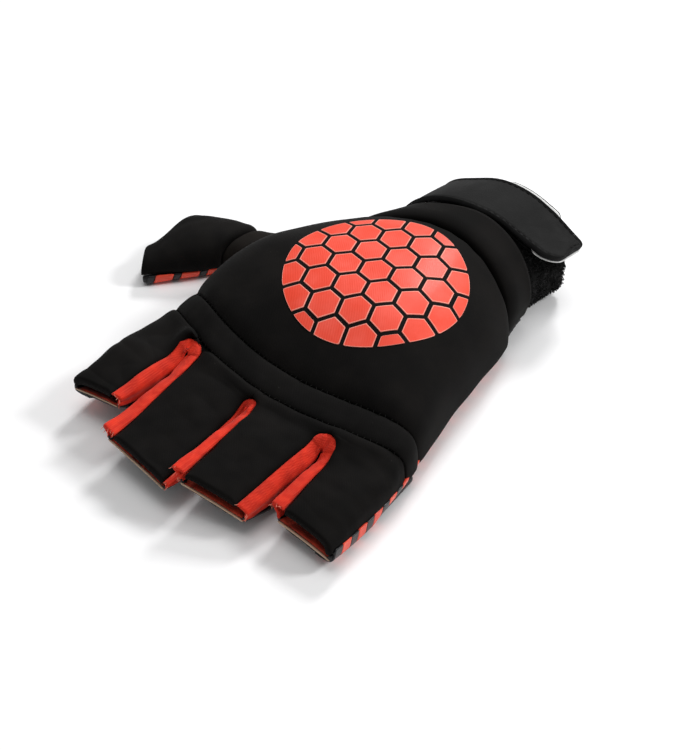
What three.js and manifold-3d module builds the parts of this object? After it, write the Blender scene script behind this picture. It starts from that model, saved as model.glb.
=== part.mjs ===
// A field hockey glove for the left hand, lying palm down on a table.
// Millimetres, +Z up. The origin is on the table under the middle of the palm, +Y points to the
// fingertips and +X to the thumb. A padded back, knuckle band, finger pads, collar, pile cuff, thumb
// and striped palm are sewn edge to edge round one open hollow for the hand. Elastic gussets line the
// slits between the fingers, and a hook-and-loop strap crosses the wrist.
import * as THREE from "three";
import { mergeVertices } from "three/addons/utils/BufferGeometryUtils.js";
import Module from "manifold-3d";

const wasm = await Module();
wasm.setup();

// Overall sizes of the hand part
const HAND_LENGTH = 146; // cuff rim to the roots of the fingers
const PALM_ORIGIN = 0.676; // share of HAND_LENGTH from the cuff rim to the origin
const PALM_WIDTH = 126; // across the knuckles
const CROWN_HEIGHT = 41; // table to the top of the padded back

// Lengths along the hand of the sewn pieces
const CUFF_LENGTH = 23;
const COLLAR_LENGTH = 15; // at the middle of the wrist
const COLLAR_ARC_RADIUS = 100; // plan radius of the seam between collar and cuff
const BAND_LENGTH = 10;
const BAND_REACH = 5; // the band's far seam lies this far short of the finger roots
const PAD_ARC_RADIUS = 108; // plan radius of the back pad's wrist end
const KNUCKLE_ARC_RADIUS = 138; // plan radius of the seam on the wrist side of the band
const KNUCKLE_ARC_SHIFT = -6; // the knuckle arc's centre lies this far to the little finger's side

// Walls
const PAD_WALL = 6;
const COLLAR_WALL = 3.5;
const BAND_WALL = 2.6;
const FINGER_PAD_WALL = 2.4;
const CUFF_WALL = 3;
const SIDE_WALL = 2.4;
const PALM_WALL = 2;
const GUSSET_WALL = 1.5;
const CUFF_STEP = 2.6; // the cuff is this much smaller than the collar over it
const PALM_RISE = 4.6; // height of the seam where the palm leather meets the upper pieces
const SEAM_GAP = 0.3;

// Fingers
const FINGER_REACH = 41; // finger roots to the end of the middle finger
const FINGER_HEIGHT = 20;
const FINGER_LIFT = 8; // the most that a fingertip rises off the table
const FINGER_OVERLAP = 20; // how far a finger's form runs back inside the hand's form
const GUSSET_SHOULDER = 3.4; // gusset cloth on each side of a slit, seen from above
const SLIT_END = 12; // the slits' open ends are measured this far short of the middle finger's tip

// Thumb
const THUMB_REACH = 80;
const THUMB_WIDTH = 31;
const THUMB_HEIGHT = 16;
const THUMB_ANGLE = 40; // degrees from +X towards the fingers
const THUMB_SEAM = 29.5; // the thumb's own cover starts this far from the thumb's root, along +X

// Strap
const STRAP_WIDTH = 28;
const STRAP_OVERHANG = 5.2; // how far it stands past the cuff rim
const STRAP_BASE_WALL = 1.2;
const STRAP_LABEL_WALL = 2;
const STRAP_MARGIN = 1.4; // base tape seen round the label
const STRAP_CORNER = 9;
const STRAP_CLEARANCE = 1.4; // over the cuff at the strap's middle
const STRAP_START = 12; // degrees round the cuff from its thumb side to the sewn end
const STRAP_LEAVE = 124; // degrees round the cuff where the free end leaves it
const STRAP_TAIL = 22; // length of the free end that stands off the cuff
const STRAP_LABEL_START = 8; // the label starts this far from the sewn end

// Facets
const HAND_FACETS = 36;
const FINGER_FACETS = 20;
const THUMB_FACETS = 22;

// The hand's form, a row for each section from the cuff rim to the finger roots.
// along: share of HAND_LENGTH. little, thumb: reach to each side, shares of half PALM_WIDTH.
// crown: share of CROWN_HEIGHT. side: height of the widest place, share of CROWN_HEIGHT.
// round: shape of the upper half, 2 is an ellipse and more is squarer.
const HAND_SECTIONS = [
  { along: 0.0, little: 0.57, thumb: 0.5, crown: 0.885, side: 0.34, round: 2.0 },
  { along: 0.16, little: 0.535, thumb: 0.52, crown: 0.93, side: 0.33, round: 2.0 },
  { along: 0.27, little: 0.585, thumb: 0.63, crown: 0.95, side: 0.32, round: 2.1 },
  { along: 0.4, little: 0.65, thumb: 0.84, crown: 0.98, side: 0.3, round: 2.5 },
  { along: 0.55, little: 0.71, thumb: 0.98, crown: 1.0, side: 0.28, round: 2.8 },
  { along: 0.69, little: 0.765, thumb: 1.0, crown: 0.945, side: 0.27, round: 2.8 },
  { along: 0.79, little: 0.83, thumb: 0.98, crown: 0.82, side: 0.26, round: 2.8 },
  { along: 0.9, little: 0.9, thumb: 1.015, crown: 0.61, side: 0.25, round: 2.8 },
  { along: 1.0, little: 0.935, thumb: 1.045, crown: 0.49, side: 0.22, round: 2.9 },
];

// The fingers from the thumb's side. reach: share of FINGER_REACH. rootHeight, midHeight, tipHeight:
// shares of FINGER_HEIGHT. lift: share of FINGER_LIFT. tilt: degrees that the tip rolls up to the
// thumb's side. slant: how far the thumb's side of the tip runs past its other side, share of its width.
const FINGERS = [
  { name: "index", reach: 0.65, rootHeight: 0.99, midHeight: 0.94, tipHeight: 0.54, lift: 0.9, tilt: -5, slant: 0.06 },
  { name: "middle", reach: 1.0, rootHeight: 0.99, midHeight: 0.84, tipHeight: 0.53, lift: 0.7, tilt: 2, slant: -0.12 },
  { name: "ring", reach: 0.92, rootHeight: 0.99, midHeight: 0.9, tipHeight: 0.57, lift: 0.65, tilt: 9, slant: 0.2 },
  { name: "little", reach: 0.71, rootHeight: 0.84, midHeight: 0.77, tipHeight: 0.55, lift: 0.4, tilt: 5, slant: -0.08 },
];

// The slits between the fingers, from the thumb's side. rootX, endX: centre line, shares of half
// PALM_WIDTH. rootGap, endGap: width, shares of PALM_WIDTH. start: how far the slit starts short of the
// finger roots, share of HAND_LENGTH. thumbCloth, littleCloth: the gusset's cloth on the slit's thumb side
// and little side, shares of GUSSET_SHOULDER.
const SLITS = [
  {
    name: "index_middle", rootX: 0.605, endX: 0.602, rootGap: 0.013, endGap: 0.051, start: 0.043,
    thumbCloth: 1, littleCloth: 1.35,
  },
  {
    name: "middle_ring", rootX: 0.05, endX: 0.004, rootGap: 0.008, endGap: 0.024, start: -0.004,
    thumbCloth: 0.55, littleCloth: 0.85,
  },
  {
    name: "ring_little", rootX: -0.505, endX: -0.508, rootGap: 0.011, endGap: 0.051, start: -0.004,
    thumbCloth: 1, littleCloth: 1.1,
  },
];
const INDEX_SIDE = { rootX: 1.035, endX: 1.005 }; // outer sides, shares of half PALM_WIDTH
const LITTLE_SIDE = { rootX: -0.93, endX: -0.97 };

const BURIED_SHARE = new THREE.Vector3(0.96, 1, 0.85); // size of a finger's buried end against its root
const FINGER_STATIONS = [0, 0.25, 0.5, 0.75, 1]; // shares of a finger's reach

// The thumb, a row for each section. along: share of THUMB_REACH. shift: centre's distance from the
// axis towards the fingers, share of THUMB_WIDTH. width: share of THUMB_WIDTH. height: share of THUMB_HEIGHT.
const THUMB_ROOT = { across: 0.794, along: 0.265 }; // shares of half PALM_WIDTH and of HAND_LENGTH
const THUMB_SECTIONS = [
  { along: 0.0, shift: 0.39, width: 0.66, height: 0.85 },
  { along: 0.25, shift: 0.26, width: 0.78, height: 0.82 },
  { along: 0.47, shift: 0.09, width: 0.65, height: 0.86 },
  { along: 0.6, shift: -0.02, width: 0.78, height: 0.93 },
  { along: 0.73, shift: -0.03, width: 0.98, height: 1.0 },
  { along: 0.81, shift: 0.02, width: 0.97, height: 0.95 },
  { along: 0.88, shift: 0.16, width: 0.76, height: 0.84 },
  { along: 0.94, shift: 0.27, width: 0.6, height: 0.72 },
  { along: 1.0, shift: 0.34, width: 0.52, height: 0.66 },
];

// Roundness of the other sections
const FINGER_ROUND = 3.2;
const THUMB_ROUND = 2.5;
const UNDERSIDE_ROUND = 5;

const halfWidth = PALM_WIDTH / 2;
const rimY = -PALM_ORIGIN * HAND_LENGTH;
const rootY = (1 - PALM_ORIGIN) * HAND_LENGTH;
const collarY = rimY + CUFF_LENGTH;
const padY = collarY + COLLAR_LENGTH;
const bandEndY = rootY - BAND_REACH;
const knuckleY = bandEndY - BAND_LENGTH;
const FAR = 400; // reach of a cutting form past the glove
const PAST_END = 6; // how far a hollow or a slit runs past an open end

// Material finishes
const finish = (color, roughness) => new THREE.MeshStandardMaterial({ color, roughness, metalness: 0 });
const NEOPRENE = finish(0x141312, 0.8);
const ELASTIC = finish(0xd8321c, 0.85);
const LEATHER = finish(0x1b1b1e, 0.45);
const PILE = finish(0x0e0e0e, 1.0);
const RUBBER = finish(0x232322, 0.55);
const TAPE = finish(0xb9b9b6, 0.7);

// Solids and meshes

function solidOf(geometry) {
  const plain = new THREE.BufferGeometry().setAttribute("position", geometry.getAttribute("position"));
  if (geometry.index) plain.setIndex(geometry.index);
  const merged = mergeVertices(plain, 1e-4);
  return new wasm.Manifold(
    new wasm.Mesh({
      numProp: 3,
      vertProperties: new Float32Array(merged.attributes.position.array),
      triVerts: new Uint32Array(merged.index.array),
    }),
  );
}

function meshOf(name, solid, material) {
  const { vertProperties, triVerts } = solid.getMesh();
  const geometry = new THREE.BufferGeometry();
  geometry.setAttribute("position", new THREE.BufferAttribute(vertProperties, 3));
  geometry.setIndex(new THREE.BufferAttribute(triVerts, 1));
  const flat = geometry.toNonIndexed();
  flat.computeVertexNormals();
  const mesh = new THREE.Mesh(flat, material);
  mesh.name = name;
  return mesh;
}

// A closed form through rings of equal count. Each ring turns from its right side over its top,
// seen along the loft.
function loft(rings) {
  const count = rings[0].length;
  const points = rings.flat();
  const faces = [];
  for (let i = 0; i + 1 < rings.length; i++) {
    for (let j = 0; j < count; j++) {
      const next = (j + 1) % count;
      const [a, d] = [i * count + j, i * count + next];
      const [b, c] = [a + count, d + count];
      faces.push(a, b, c, a, c, d);
    }
  }
  for (const [start, turn] of [[0, 1], [(rings.length - 1) * count, -1]]) {
    const centre = points.length;
    const ring = points.slice(start, start + count);
    points.push(ring.reduce((sum, p) => sum.add(p), new THREE.Vector3()).divideScalar(count));
    for (let j = 0; j < count; j++) {
      const next = (j + 1) % count;
      faces.push(centre, start + (turn > 0 ? j : next), start + (turn > 0 ? next : j));
    }
  }
  const geometry = new THREE.BufferGeometry().setFromPoints(points);
  geometry.setIndex(faces);
  return solidOf(geometry);
}

// An upright form of a plan outline, a list of [x, y], between two heights.
function prism(outline, low, high) {
  const shape = new THREE.Shape(outline.map(([x, y]) => new THREE.Vector2(x, y)));
  const geometry = new THREE.ExtrudeGeometry(shape, { depth: high - low, bevelEnabled: false });
  geometry.translate(0, 0, low);
  return solidOf(geometry);
}

// One section's ring. frame gives the section's middle, its right-hand direction and its plane;
// reach is [left, right], heights are floor, side and crown.
function ring(section, frame, facets, round) {
  const points = [];
  for (let j = 0; j < facets; j++) {
    const angle = (2 * Math.PI * (j + 0.5)) / facets;
    const [c, s] = [Math.cos(angle), Math.sin(angle)];
    const power = 2 / (s > 0 ? round : UNDERSIDE_ROUND);
    const reach = c > 0 ? section.right : section.left;
    const across = Math.sign(c) * reach * Math.abs(c) ** power;
    const rise = s > 0 ? section.crown - section.side : section.side - section.floor;
    const up = section.side + Math.sign(s) * rise * Math.abs(s) ** power;
    points.push(frame.middle.clone().addScaledVector(frame.across, across).setZ(up));
  }
  return points;
}

const lerp = (a, b, t) => a + (b - a) * t;
const slide = (points, distance) => points.map((p) => p.clone().setY(p.y + distance));

// A row of a table at a share along it, on a smooth curve through the rows.
function rowAt(rows, along) {
  const last = rows.length - 1;
  let i = rows.findIndex((row) => row.along >= along) - 1;
  if (i < 0) i = along <= rows[0].along ? 0 : last - 1;
  const [b, c] = [rows[i], rows[i + 1]];
  const [a, d] = [rows[Math.max(i - 1, 0)], rows[Math.min(i + 2, last)]];
  const t = Math.min(Math.max((along - b.along) / (c.along - b.along), 0), 1);
  const span = c.along - b.along;
  const row = {};
  for (const key of Object.keys(b)) {
    const slopeB = (span * (c[key] - a[key])) / (c.along - a.along);
    const slopeC = (span * (d[key] - b[key])) / (d.along - b.along);
    row[key] =
      b[key] * (2 * t ** 3 - 3 * t ** 2 + 1) + slopeB * (t ** 3 - 2 * t ** 2 + t) +
      c[key] * (3 * t ** 2 - 2 * t ** 3) + slopeC * (t ** 3 - t ** 2);
  }
  return row;
}

// The section inside a wall of the given thickness at its sides, top and underside.
function inside(section, sideWall, topWall) {
  return {
    ...section,
    left: section.left - sideWall,
    right: section.right - sideWall,
    crown: section.crown - topWall,
    side: Math.min(section.side, section.crown - topWall - 1),
    floor: section.floor + PALM_WALL,
  };
}

// The hand's form

const straight = (x, y) => ({ middle: new THREE.Vector3(x, y, 0), across: new THREE.Vector3(1, 0, 0) });

function handSection(y, step = 0) {
  const row = rowAt(HAND_SECTIONS, (y - rimY) / HAND_LENGTH);
  return {
    left: row.little * halfWidth - step,
    right: row.thumb * halfWidth - step,
    crown: row.crown * CROWN_HEIGHT - step,
    side: row.side * CROWN_HEIGHT,
    floor: 0,
    round: row.round,
  };
}

const handRing = (section, y) => ring(section, straight(0, y), HAND_FACETS, section.round);

function between(start, end, count) {
  return Array.from({ length: count }, (_, i) => lerp(start, end, i / (count - 1)));
}

// The outer form from the collar to the finger roots, grown sideways and upwards by the given amount.
function handForm(grow = 0) {
  return loft(between(collarY, rootY, 14).map((y) => handRing(handSection(y, -grow), y)));
}

const cuffForm = () => loft(between(rimY, padY, 4).map((y) => handRing(handSection(y, CUFF_STEP), y)));

// The hollow for the hand, open past the cuff rim, with the wall of each sewn piece.
function handHollow() {
  const wallRing = (y, step, sideWall, topWall) => handRing(inside(handSection(y, step), sideWall, topWall), y);
  const cuffRing = (y) => wallRing(y, CUFF_STEP, CUFF_WALL, CUFF_WALL);
  return loft([
    slide(cuffRing(rimY), -PAST_END),
    ...between(rimY, lerp(collarY, padY, 0.5), 4).map(cuffRing),
    wallRing(padY, 0, COLLAR_WALL, COLLAR_WALL),
    ...between(padY + PAD_WALL, knuckleY - PAD_WALL, 7).map((y) => wallRing(y, 0, SIDE_WALL, PAD_WALL)),
    wallRing(knuckleY, 0, SIDE_WALL, BAND_WALL),
    wallRing(bandEndY - SIDE_WALL, 0, SIDE_WALL, BAND_WALL),
  ]);
}

// The fingers' forms

const fingerEndY = (along) => rootY + along * FINGER_REACH;
const slitEndY = fingerEndY(1) - SLIT_END;

// The plan x of a finger's side at y: an outer side, or a slit's edge.
function sideX(side, y, towards) {
  const t = (y - rootY) / (slitEndY - rootY);
  const gap = lerp(side.rootGap ?? 0, side.endGap ?? 0, t) * PALM_WIDTH;
  return lerp(side.rootX, side.endX, t) * halfWidth + (towards * gap) / 2;
}

const fingerSides = [INDEX_SIDE, ...SLITS, LITTLE_SIDE];

function fingerPlan(index, along) {
  const finger = FINGERS[index];
  const y = fingerEndY(along * finger.reach);
  const [right, left] = [sideX(fingerSides[index], y, -1), sideX(fingerSides[index + 1], y, 1)];
  return { y, middle: (left + right) / 2, half: (right - left) / 2 };
}

// A value that runs through a root, a middle and a tip value.
const through = (root, middle, tip, t) => root * (1 - t) * (1 - 2 * t) + middle * 4 * t * (1 - t) + tip * t * (2 * t - 1);

function fingerSection(index, along) {
  const finger = FINGERS[index];
  const { half } = fingerPlan(index, along);
  const floor = finger.lift * FINGER_LIFT * along ** 2;
  const height = through(finger.rootHeight, finger.midHeight, finger.tipHeight, along) * FINGER_HEIGHT;
  return { left: half, right: half, floor, side: floor + 0.42 * height, crown: floor + height };
}

// Moves a point of a finger with the roll and the slant of its tip.
function poseOnFinger(index, along, point) {
  const { middle } = fingerPlan(index, along);
  const beside = point.x - middle;
  point.z += beside * Math.tan(THREE.MathUtils.degToRad(FINGERS[index].tilt)) * along;
  point.y += beside * FINGERS[index].slant * along;
  return point;
}

function fingerRing(index, along, wall) {
  const { y, middle } = fingerPlan(index, along);
  const points = ring(wall(fingerSection(index, along)), straight(middle, y), FINGER_FACETS, FINGER_ROUND);
  return points.map((point) => poseOnFinger(index, along, point));
}

// The end of a finger's form that lies inside the hand's form, a little smaller than its root.
const buriedRing = (root) => slide(root, -FINGER_OVERLAP).map((p) => p.multiply(BURIED_SHARE));

function fingerForm(index) {
  const same = (section) => section;
  const rings = FINGER_STATIONS.map((along) => fingerRing(index, along, same));
  return loft([buriedRing(rings[0]), ...rings]);
}

function fingerHollow(index) {
  const wall = (section) => inside(section, GUSSET_WALL, FINGER_PAD_WALL);
  const rings = FINGER_STATIONS.map((along) => fingerRing(index, along, wall));
  return loft([buriedRing(rings[0]), ...rings, slide(rings.at(-1), PAST_END)]);
}

// A slit's plan shape as an upright form, grown on both sides: round at its root, open past the tips.
function slitForm(slit, towardsThumb, towardsLittle = towardsThumb) {
  const startY = rootY - slit.start * HAND_LENGTH;
  const endY = fingerEndY(1) + PAST_END;
  const [startLeft, startRight, endLeft, endRight] = [startY, endY].flatMap((y) => [
    sideX(slit, y, -1) - towardsLittle,
    sideX(slit, y, 1) + towardsThumb,
  ]);
  const [middle, radius] = [(startLeft + startRight) / 2, (startRight - startLeft) / 2];
  const round = between(0, Math.PI, 9).map((angle) => [
    middle - radius * Math.cos(angle),
    startY - radius * Math.sin(angle),
  ]);
  return prism([...round, [endRight, endY], [endLeft, endY]], -FAR, FAR);
}

// The thumb's form

const thumbTurn = THREE.MathUtils.degToRad(THUMB_ANGLE);
const thumbAlong = new THREE.Vector3(Math.cos(thumbTurn), Math.sin(thumbTurn), 0);
const thumbAcross = new THREE.Vector3(Math.sin(thumbTurn), -Math.cos(thumbTurn), 0);

const thumbRoot = new THREE.Vector3(THUMB_ROOT.across * halfWidth, rimY + THUMB_ROOT.along * HAND_LENGTH, 0);

function thumbPoint(along, towardsFingers) {
  return thumbRoot.clone()
    .addScaledVector(thumbAlong, along)
    .addScaledVector(thumbAcross, -towardsFingers);
}

function thumbRing(row, grow, past = 0) {
  const half = (row.width * THUMB_WIDTH) / 2;
  const height = row.height * THUMB_HEIGHT;
  const section = { left: half, right: half, floor: 0, side: 0.45 * height, crown: height };
  const frame = {
    middle: thumbPoint(row.along * THUMB_REACH + past, row.shift * THUMB_WIDTH),
    across: thumbAcross,
  };
  return ring(grow(section), frame, THUMB_FACETS, THUMB_ROUND);
}

const thumbForm = () => loft(THUMB_SECTIONS.map((row) => thumbRing(row, (section) => section)));

function thumbHollow() {
  const wall = (section) => inside(section, SIDE_WALL, FINGER_PAD_WALL);
  const rings = THUMB_SECTIONS.map((row) => thumbRing(row, wall));
  return loft([...rings, thumbRing(THUMB_SECTIONS.at(-1), wall, PAST_END)]);
}

// Cutting forms

// Everything on the wrist side of an arc across the hand. The arc peaks at y, at the given centre,
// and runs straight on past the hand.
function wristSideOfArc(y, radius, centreX, peaksToFingers) {
  const arc = between(-FAR / 4, FAR / 4, 36).map((x) => {
    const offset = Math.min(Math.abs(x - centreX), radius * 0.6);
    const sag = radius - Math.sqrt(radius ** 2 - offset ** 2);
    return [x, peaksToFingers ? y - sag : y + sag];
  });
  return prism([[-FAR / 4, -FAR], [FAR / 4, -FAR], ...arc.reverse()], -FAR, FAR);
}

const knuckleSeam = (y) => wristSideOfArc(y, KNUCKLE_ARC_RADIUS, KNUCKLE_ARC_SHIFT, true);
const wristSeam = (y) => wristSideOfArc(y, PAD_ARC_RADIUS, 0, false);
const collarSeam = (y) => wristSideOfArc(y, COLLAR_ARC_RADIUS, 0, false);
const block = (x0, x1, y0, y1) => prism([[x0, y0], [x1, y0], [x1, y1], [x0, y1]], -FAR, FAR);

// Everything under the seam that runs round the glove, lifted and rolled along each finger.
function underSeam(offset) {
  const rise = PALM_RISE + offset;
  const base = prism([[-FAR, -FAR], [FAR, -FAR], [FAR, rootY], [-FAR, rootY]], -FAR, rise);
  const fingers = FINGERS.map((finger, index) => {
    const rings = FINGER_STATIONS.map((along) => {
      const { y, middle, half } = fingerPlan(index, along);
      const top = fingerSection(index, along).floor + rise;
      const reach = half + 2 * SEAM_GAP;
      const corners = [[reach, -FAR], [reach, top], [-reach, top], [-reach, -FAR]];
      return corners.map(([side, z]) => poseOnFinger(index, along, new THREE.Vector3(middle + side, y, z)));
    });
    return loft([slide(rings[0], -1), ...rings, slide(rings.at(-1), PAST_END)]);
  });
  return fingers.reduce((zone, finger) => zone.add(finger), base);
}

// The strap

// A plate bent over the wrist: the path is a list of [x, z] from the sewn end to the free end, and
// the plate stands between two heights off it. Its free end has round corners.
function strapPlate(low, high, startTrim, margin) {
  const path = strapPath();
  const length = path.getLength();
  const [y0, y1] = [rimY - STRAP_OVERHANG + margin, rimY - STRAP_OVERHANG + STRAP_WIDTH - margin];
  const end = length - margin;
  const corner = STRAP_CORNER - margin;
  const bends = between(startTrim, end - corner, 17);
  const round = between(0, Math.PI / 2, 6).slice(1, -1).map((angle) => end - corner + corner * Math.sin(angle));
  const stations = [...bends, ...round, end - 0.02 * corner];
  return loft(
    stations.map((distance) => {
      const into = Math.max(distance - (end - corner), 0);
      const inset = corner - Math.sqrt(corner ** 2 - into ** 2);
      const at = path.getPointAt(distance / length);
      const along = path.getTangentAt(distance / length);
      const off = (height) => [at.x + along.y * height, at.y - along.x * height];
      const [inner, outer] = [off(low), off(high)];
      return [
        new THREE.Vector3(inner[0], y1 - inset, inner[1]),
        new THREE.Vector3(outer[0], y1 - inset, outer[1]),
        new THREE.Vector3(outer[0], y0 + inset, outer[1]),
        new THREE.Vector3(inner[0], y0 + inset, inner[1]),
      ];
    }),
  );
}

// The line that the strap's underside follows: over the cuff, then straight on past its side.
function strapPath() {
  const section = handSection((rimY + collarY) / 2, CUFF_STEP);
  const grown = {
    ...section,
    left: section.left + STRAP_CLEARANCE,
    right: section.right + STRAP_CLEARANCE,
    crown: section.crown + STRAP_CLEARANCE,
  };
  const onCuff = (angle) => {
    const [c, s] = [Math.cos(angle), Math.sin(angle)];
    const reach = c > 0 ? grown.right : grown.left;
    const across = Math.sign(c) * reach * Math.abs(c) ** (2 / grown.round);
    return new THREE.Vector2(across, grown.side + (grown.crown - grown.side) * s ** (2 / grown.round));
  };
  const points = between(STRAP_START, STRAP_LEAVE, 13).map((degrees) => onCuff(THREE.MathUtils.degToRad(degrees)));
  const last = points.at(-1);
  const leaving = last.clone().sub(points.at(-2)).normalize();
  points.push(last.clone().addScaledVector(leaving, STRAP_TAIL / 2));
  points.push(last.clone().addScaledVector(leaving, STRAP_TAIL));
  return new THREE.SplineCurve(points);
}

// Build

const sum = (solids) => solids.reduce((a, b) => a.add(b));
const indices = FINGERS.map((finger, index) => index);
const slits = sum(SLITS.map((slit) => slitForm(slit, 0)));
const slitWalls = sum(SLITS.map((slit) => slitForm(slit, GUSSET_WALL)));
const outer = sum([handForm(), ...indices.map(fingerForm), thumbForm()]).subtract(slits);
const hollow = sum([handHollow(), ...indices.map(fingerHollow), thumbHollow()]).subtract(slitWalls);

const half = SEAM_GAP / 2;
const cuff = cuffForm().subtract(hollow).intersect(collarSeam(collarY - half));
const pastCuff = outer.subtract(hollow).subtract(collarSeam(collarY + half));
const palm = pastCuff.intersect(underSeam(-half));
const uppers = pastCuff.subtract(underSeam(half));

// A slit's form with its gusset's cloth, and the same a little smaller or larger.
function clothForm(slit, grow) {
  const [thumbCloth, littleCloth] = [slit.thumbCloth, slit.littleCloth].map((share) => share * GUSSET_SHOULDER);
  return slitForm(slit, thumbCloth + grow, littleCloth + grow);
}

const gussets = SLITS.map((slit) => uppers.intersect(clothForm(slit, -half)));
const covers = uppers.subtract(sum(SLITS.map((slit) => clothForm(slit, half))));

// The thumb's side of the hand, outside the hand's own form
const thumbSeamX = thumbRoot.x + THUMB_SEAM;
const thumbZone = block(0, FAR, rimY, bandEndY - BAND_LENGTH / 2);
const thumbSide = covers.intersect(thumbZone).subtract(handForm(half));
const backSide = covers.subtract(thumbZone).add(covers.intersect(thumbZone).intersect(handForm(-half)));

const pieces = [
  ["back_pad", backSide.intersect(knuckleSeam(knuckleY - half)).subtract(wristSeam(padY + half)), NEOPRENE],
  ["knuckle_band", backSide.intersect(knuckleSeam(bandEndY - half)).subtract(knuckleSeam(knuckleY + half)), NEOPRENE],
  ["finger_pads", backSide.subtract(knuckleSeam(bandEndY + half)), NEOPRENE],
  ["cuff_collar", backSide.intersect(wristSeam(padY - half)), NEOPRENE],
  ["cuff", cuff, PILE],
  ...SLITS.map((slit, index) => ["gusset_" + slit.name, gussets[index], ELASTIC]),
  ["thumb_web", thumbSide.intersect(block(0, thumbSeamX - half, rimY, rootY)), NEOPRENE],
  ["thumb_pad", thumbSide.intersect(block(thumbSeamX + half, FAR, rimY, rootY)), NEOPRENE],
  ["palm", palm, LEATHER],
  ["strap_base", strapPlate(0, STRAP_BASE_WALL, 0, 0), TAPE],
  ["strap_label", strapPlate(STRAP_BASE_WALL + SEAM_GAP, STRAP_BASE_WALL + SEAM_GAP + STRAP_LABEL_WALL, STRAP_LABEL_START, STRAP_MARGIN), RUBBER],
];

// A cut can leave crumbs beside a piece: the piece itself is the largest of them.
const largest = (solid) => solid.decompose().sort((a, b) => b.volume() - a.volume())[0];

const glove = new THREE.Group();
for (const [name, solid, material] of pieces) glove.add(meshOf(name, largest(solid), material));
export default glove;
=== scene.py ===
import math

import bpy
import numpy as np
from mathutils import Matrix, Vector
from mathutils.bvhtree import BVHTree


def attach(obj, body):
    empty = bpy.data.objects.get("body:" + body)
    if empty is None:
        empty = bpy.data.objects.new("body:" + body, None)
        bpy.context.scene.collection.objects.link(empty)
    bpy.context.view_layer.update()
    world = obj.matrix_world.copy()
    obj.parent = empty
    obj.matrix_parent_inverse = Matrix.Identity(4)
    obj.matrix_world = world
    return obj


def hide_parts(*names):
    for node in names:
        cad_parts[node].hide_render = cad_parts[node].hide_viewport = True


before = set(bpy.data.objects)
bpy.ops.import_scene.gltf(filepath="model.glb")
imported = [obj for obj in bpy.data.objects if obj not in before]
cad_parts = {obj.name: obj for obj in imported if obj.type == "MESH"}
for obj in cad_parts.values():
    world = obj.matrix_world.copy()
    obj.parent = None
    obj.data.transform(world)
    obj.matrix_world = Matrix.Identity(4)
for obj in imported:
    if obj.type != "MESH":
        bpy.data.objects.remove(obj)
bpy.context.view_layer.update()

MM = 0.001

# Sizes of the hand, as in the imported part
HAND_LENGTH = 146
PALM_ORIGIN = 0.676
PALM_WIDTH = 126
CROWN_HEIGHT = 41
CUFF_LENGTH = 23
COLLAR_LENGTH = 15
COLLAR_ARC_RADIUS = 100
BAND_LENGTH = 10
BAND_REACH = 5
PAD_ARC_RADIUS = 108
KNUCKLE_ARC_RADIUS = 138
KNUCKLE_ARC_SHIFT = -6
CUFF_STEP = 2.6
PALM_RISE = 4.6
SEAM_GAP = 0.3

# Walls; the gussets' cloth is 0.2 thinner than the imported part's
PAD_WALL = 6
COLLAR_WALL = 3.5
BAND_WALL = 2.6
FINGER_PAD_WALL = 2.4
PAD_SWELL = 0.4  # how much thicker the padded fingers and thumb are made
WEB_WALL = 2.0
CUFF_WALL = 3
PALM_WALL = 2
GUSSET_WALL = 1.3

# Fingers
FINGER_REACH = 41
FINGER_HEIGHT = 20
FINGER_LIFT = 8
GUSSET_SHOULDER = 3.4
GUSSET_FOOT = 0.8  # how far over a finger's floor its gusset begins
SLIT_END = 12
FINGER_SIDE_SHARE = 0.42  # height of a finger's widest place, share of its height

# Thumb
THUMB_REACH = 80
THUMB_WIDTH = 31
THUMB_HEIGHT = 16
THUMB_ANGLE = math.radians(40)
THUMB_SEAM = 29.5
THUMB_SIDE_SHARE = 0.45

# Strap
STRAP_WIDTH = 28
STRAP_OVERHANG = 5.2
STRAP_BASE_WALL = 1.2
STRAP_LABEL_WALL = 2.0
STRAP_CLEARANCE = 1.4
STRAP_START = 12
STRAP_LEAVE = 124
STRAP_TAIL = 22
STRAP_LABEL_START = 8

# Roundness of sections: 2 is an ellipse and more is squarer
FINGER_ROUND = 3.2
THUMB_ROUND = 2.5
UNDERSIDE_ROUND = 5

# along, little side, thumb side, crown, widest height, roundness
HAND_SECTIONS = np.array([
    [0.0, 0.57, 0.5, 0.885, 0.34, 2.0],
    [0.16, 0.535, 0.52, 0.93, 0.33, 2.0],
    [0.27, 0.585, 0.63, 0.95, 0.32, 2.1],
    [0.4, 0.65, 0.84, 0.98, 0.3, 2.5],
    [0.55, 0.71, 0.98, 1.0, 0.28, 2.8],
    [0.69, 0.765, 1.0, 0.945, 0.27, 2.8],
    [0.79, 0.83, 0.98, 0.82, 0.26, 2.8],
    [0.9, 0.9, 1.015, 0.61, 0.25, 2.8],
    [1.0, 0.935, 1.045, 0.49, 0.22, 2.9],
])

# reach, root, middle and tip height, lift, tilt in degrees, slant; from the index finger on
FINGERS = [
    [0.65, 0.99, 0.94, 0.54, 0.9, -5, 0.06],
    [1.0, 0.99, 0.84, 0.53, 0.7, 2, -0.12],
    [0.92, 0.99, 0.9, 0.57, 0.65, 9, 0.2],
    [0.71, 0.84, 0.77, 0.55, 0.4, 5, -0.08],
]

# root and end centre, shares of half the palm; root and end gap, shares of the palm; start short of the
# roots; the gusset's cloth on the thumb's and on the little finger's side, shares of its shoulder.
# The second slit's cloth on the thumb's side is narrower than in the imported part.
SLITS = [
    [0.605, 0.602, 0.013, 0.051, 0.043, 1, 1.35],
    [0.05, 0.004, 0.008, 0.024, -0.004, 0.3, 0.85],
    [-0.505, -0.508, 0.011, 0.051, -0.004, 1, 1.1],
]
INDEX_SIDE = [1.035, 1.005, 0, 0, 0, 0, 0]
LITTLE_SIDE = [-0.93, -0.97, 0, 0, 0, 0, 0]

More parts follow.
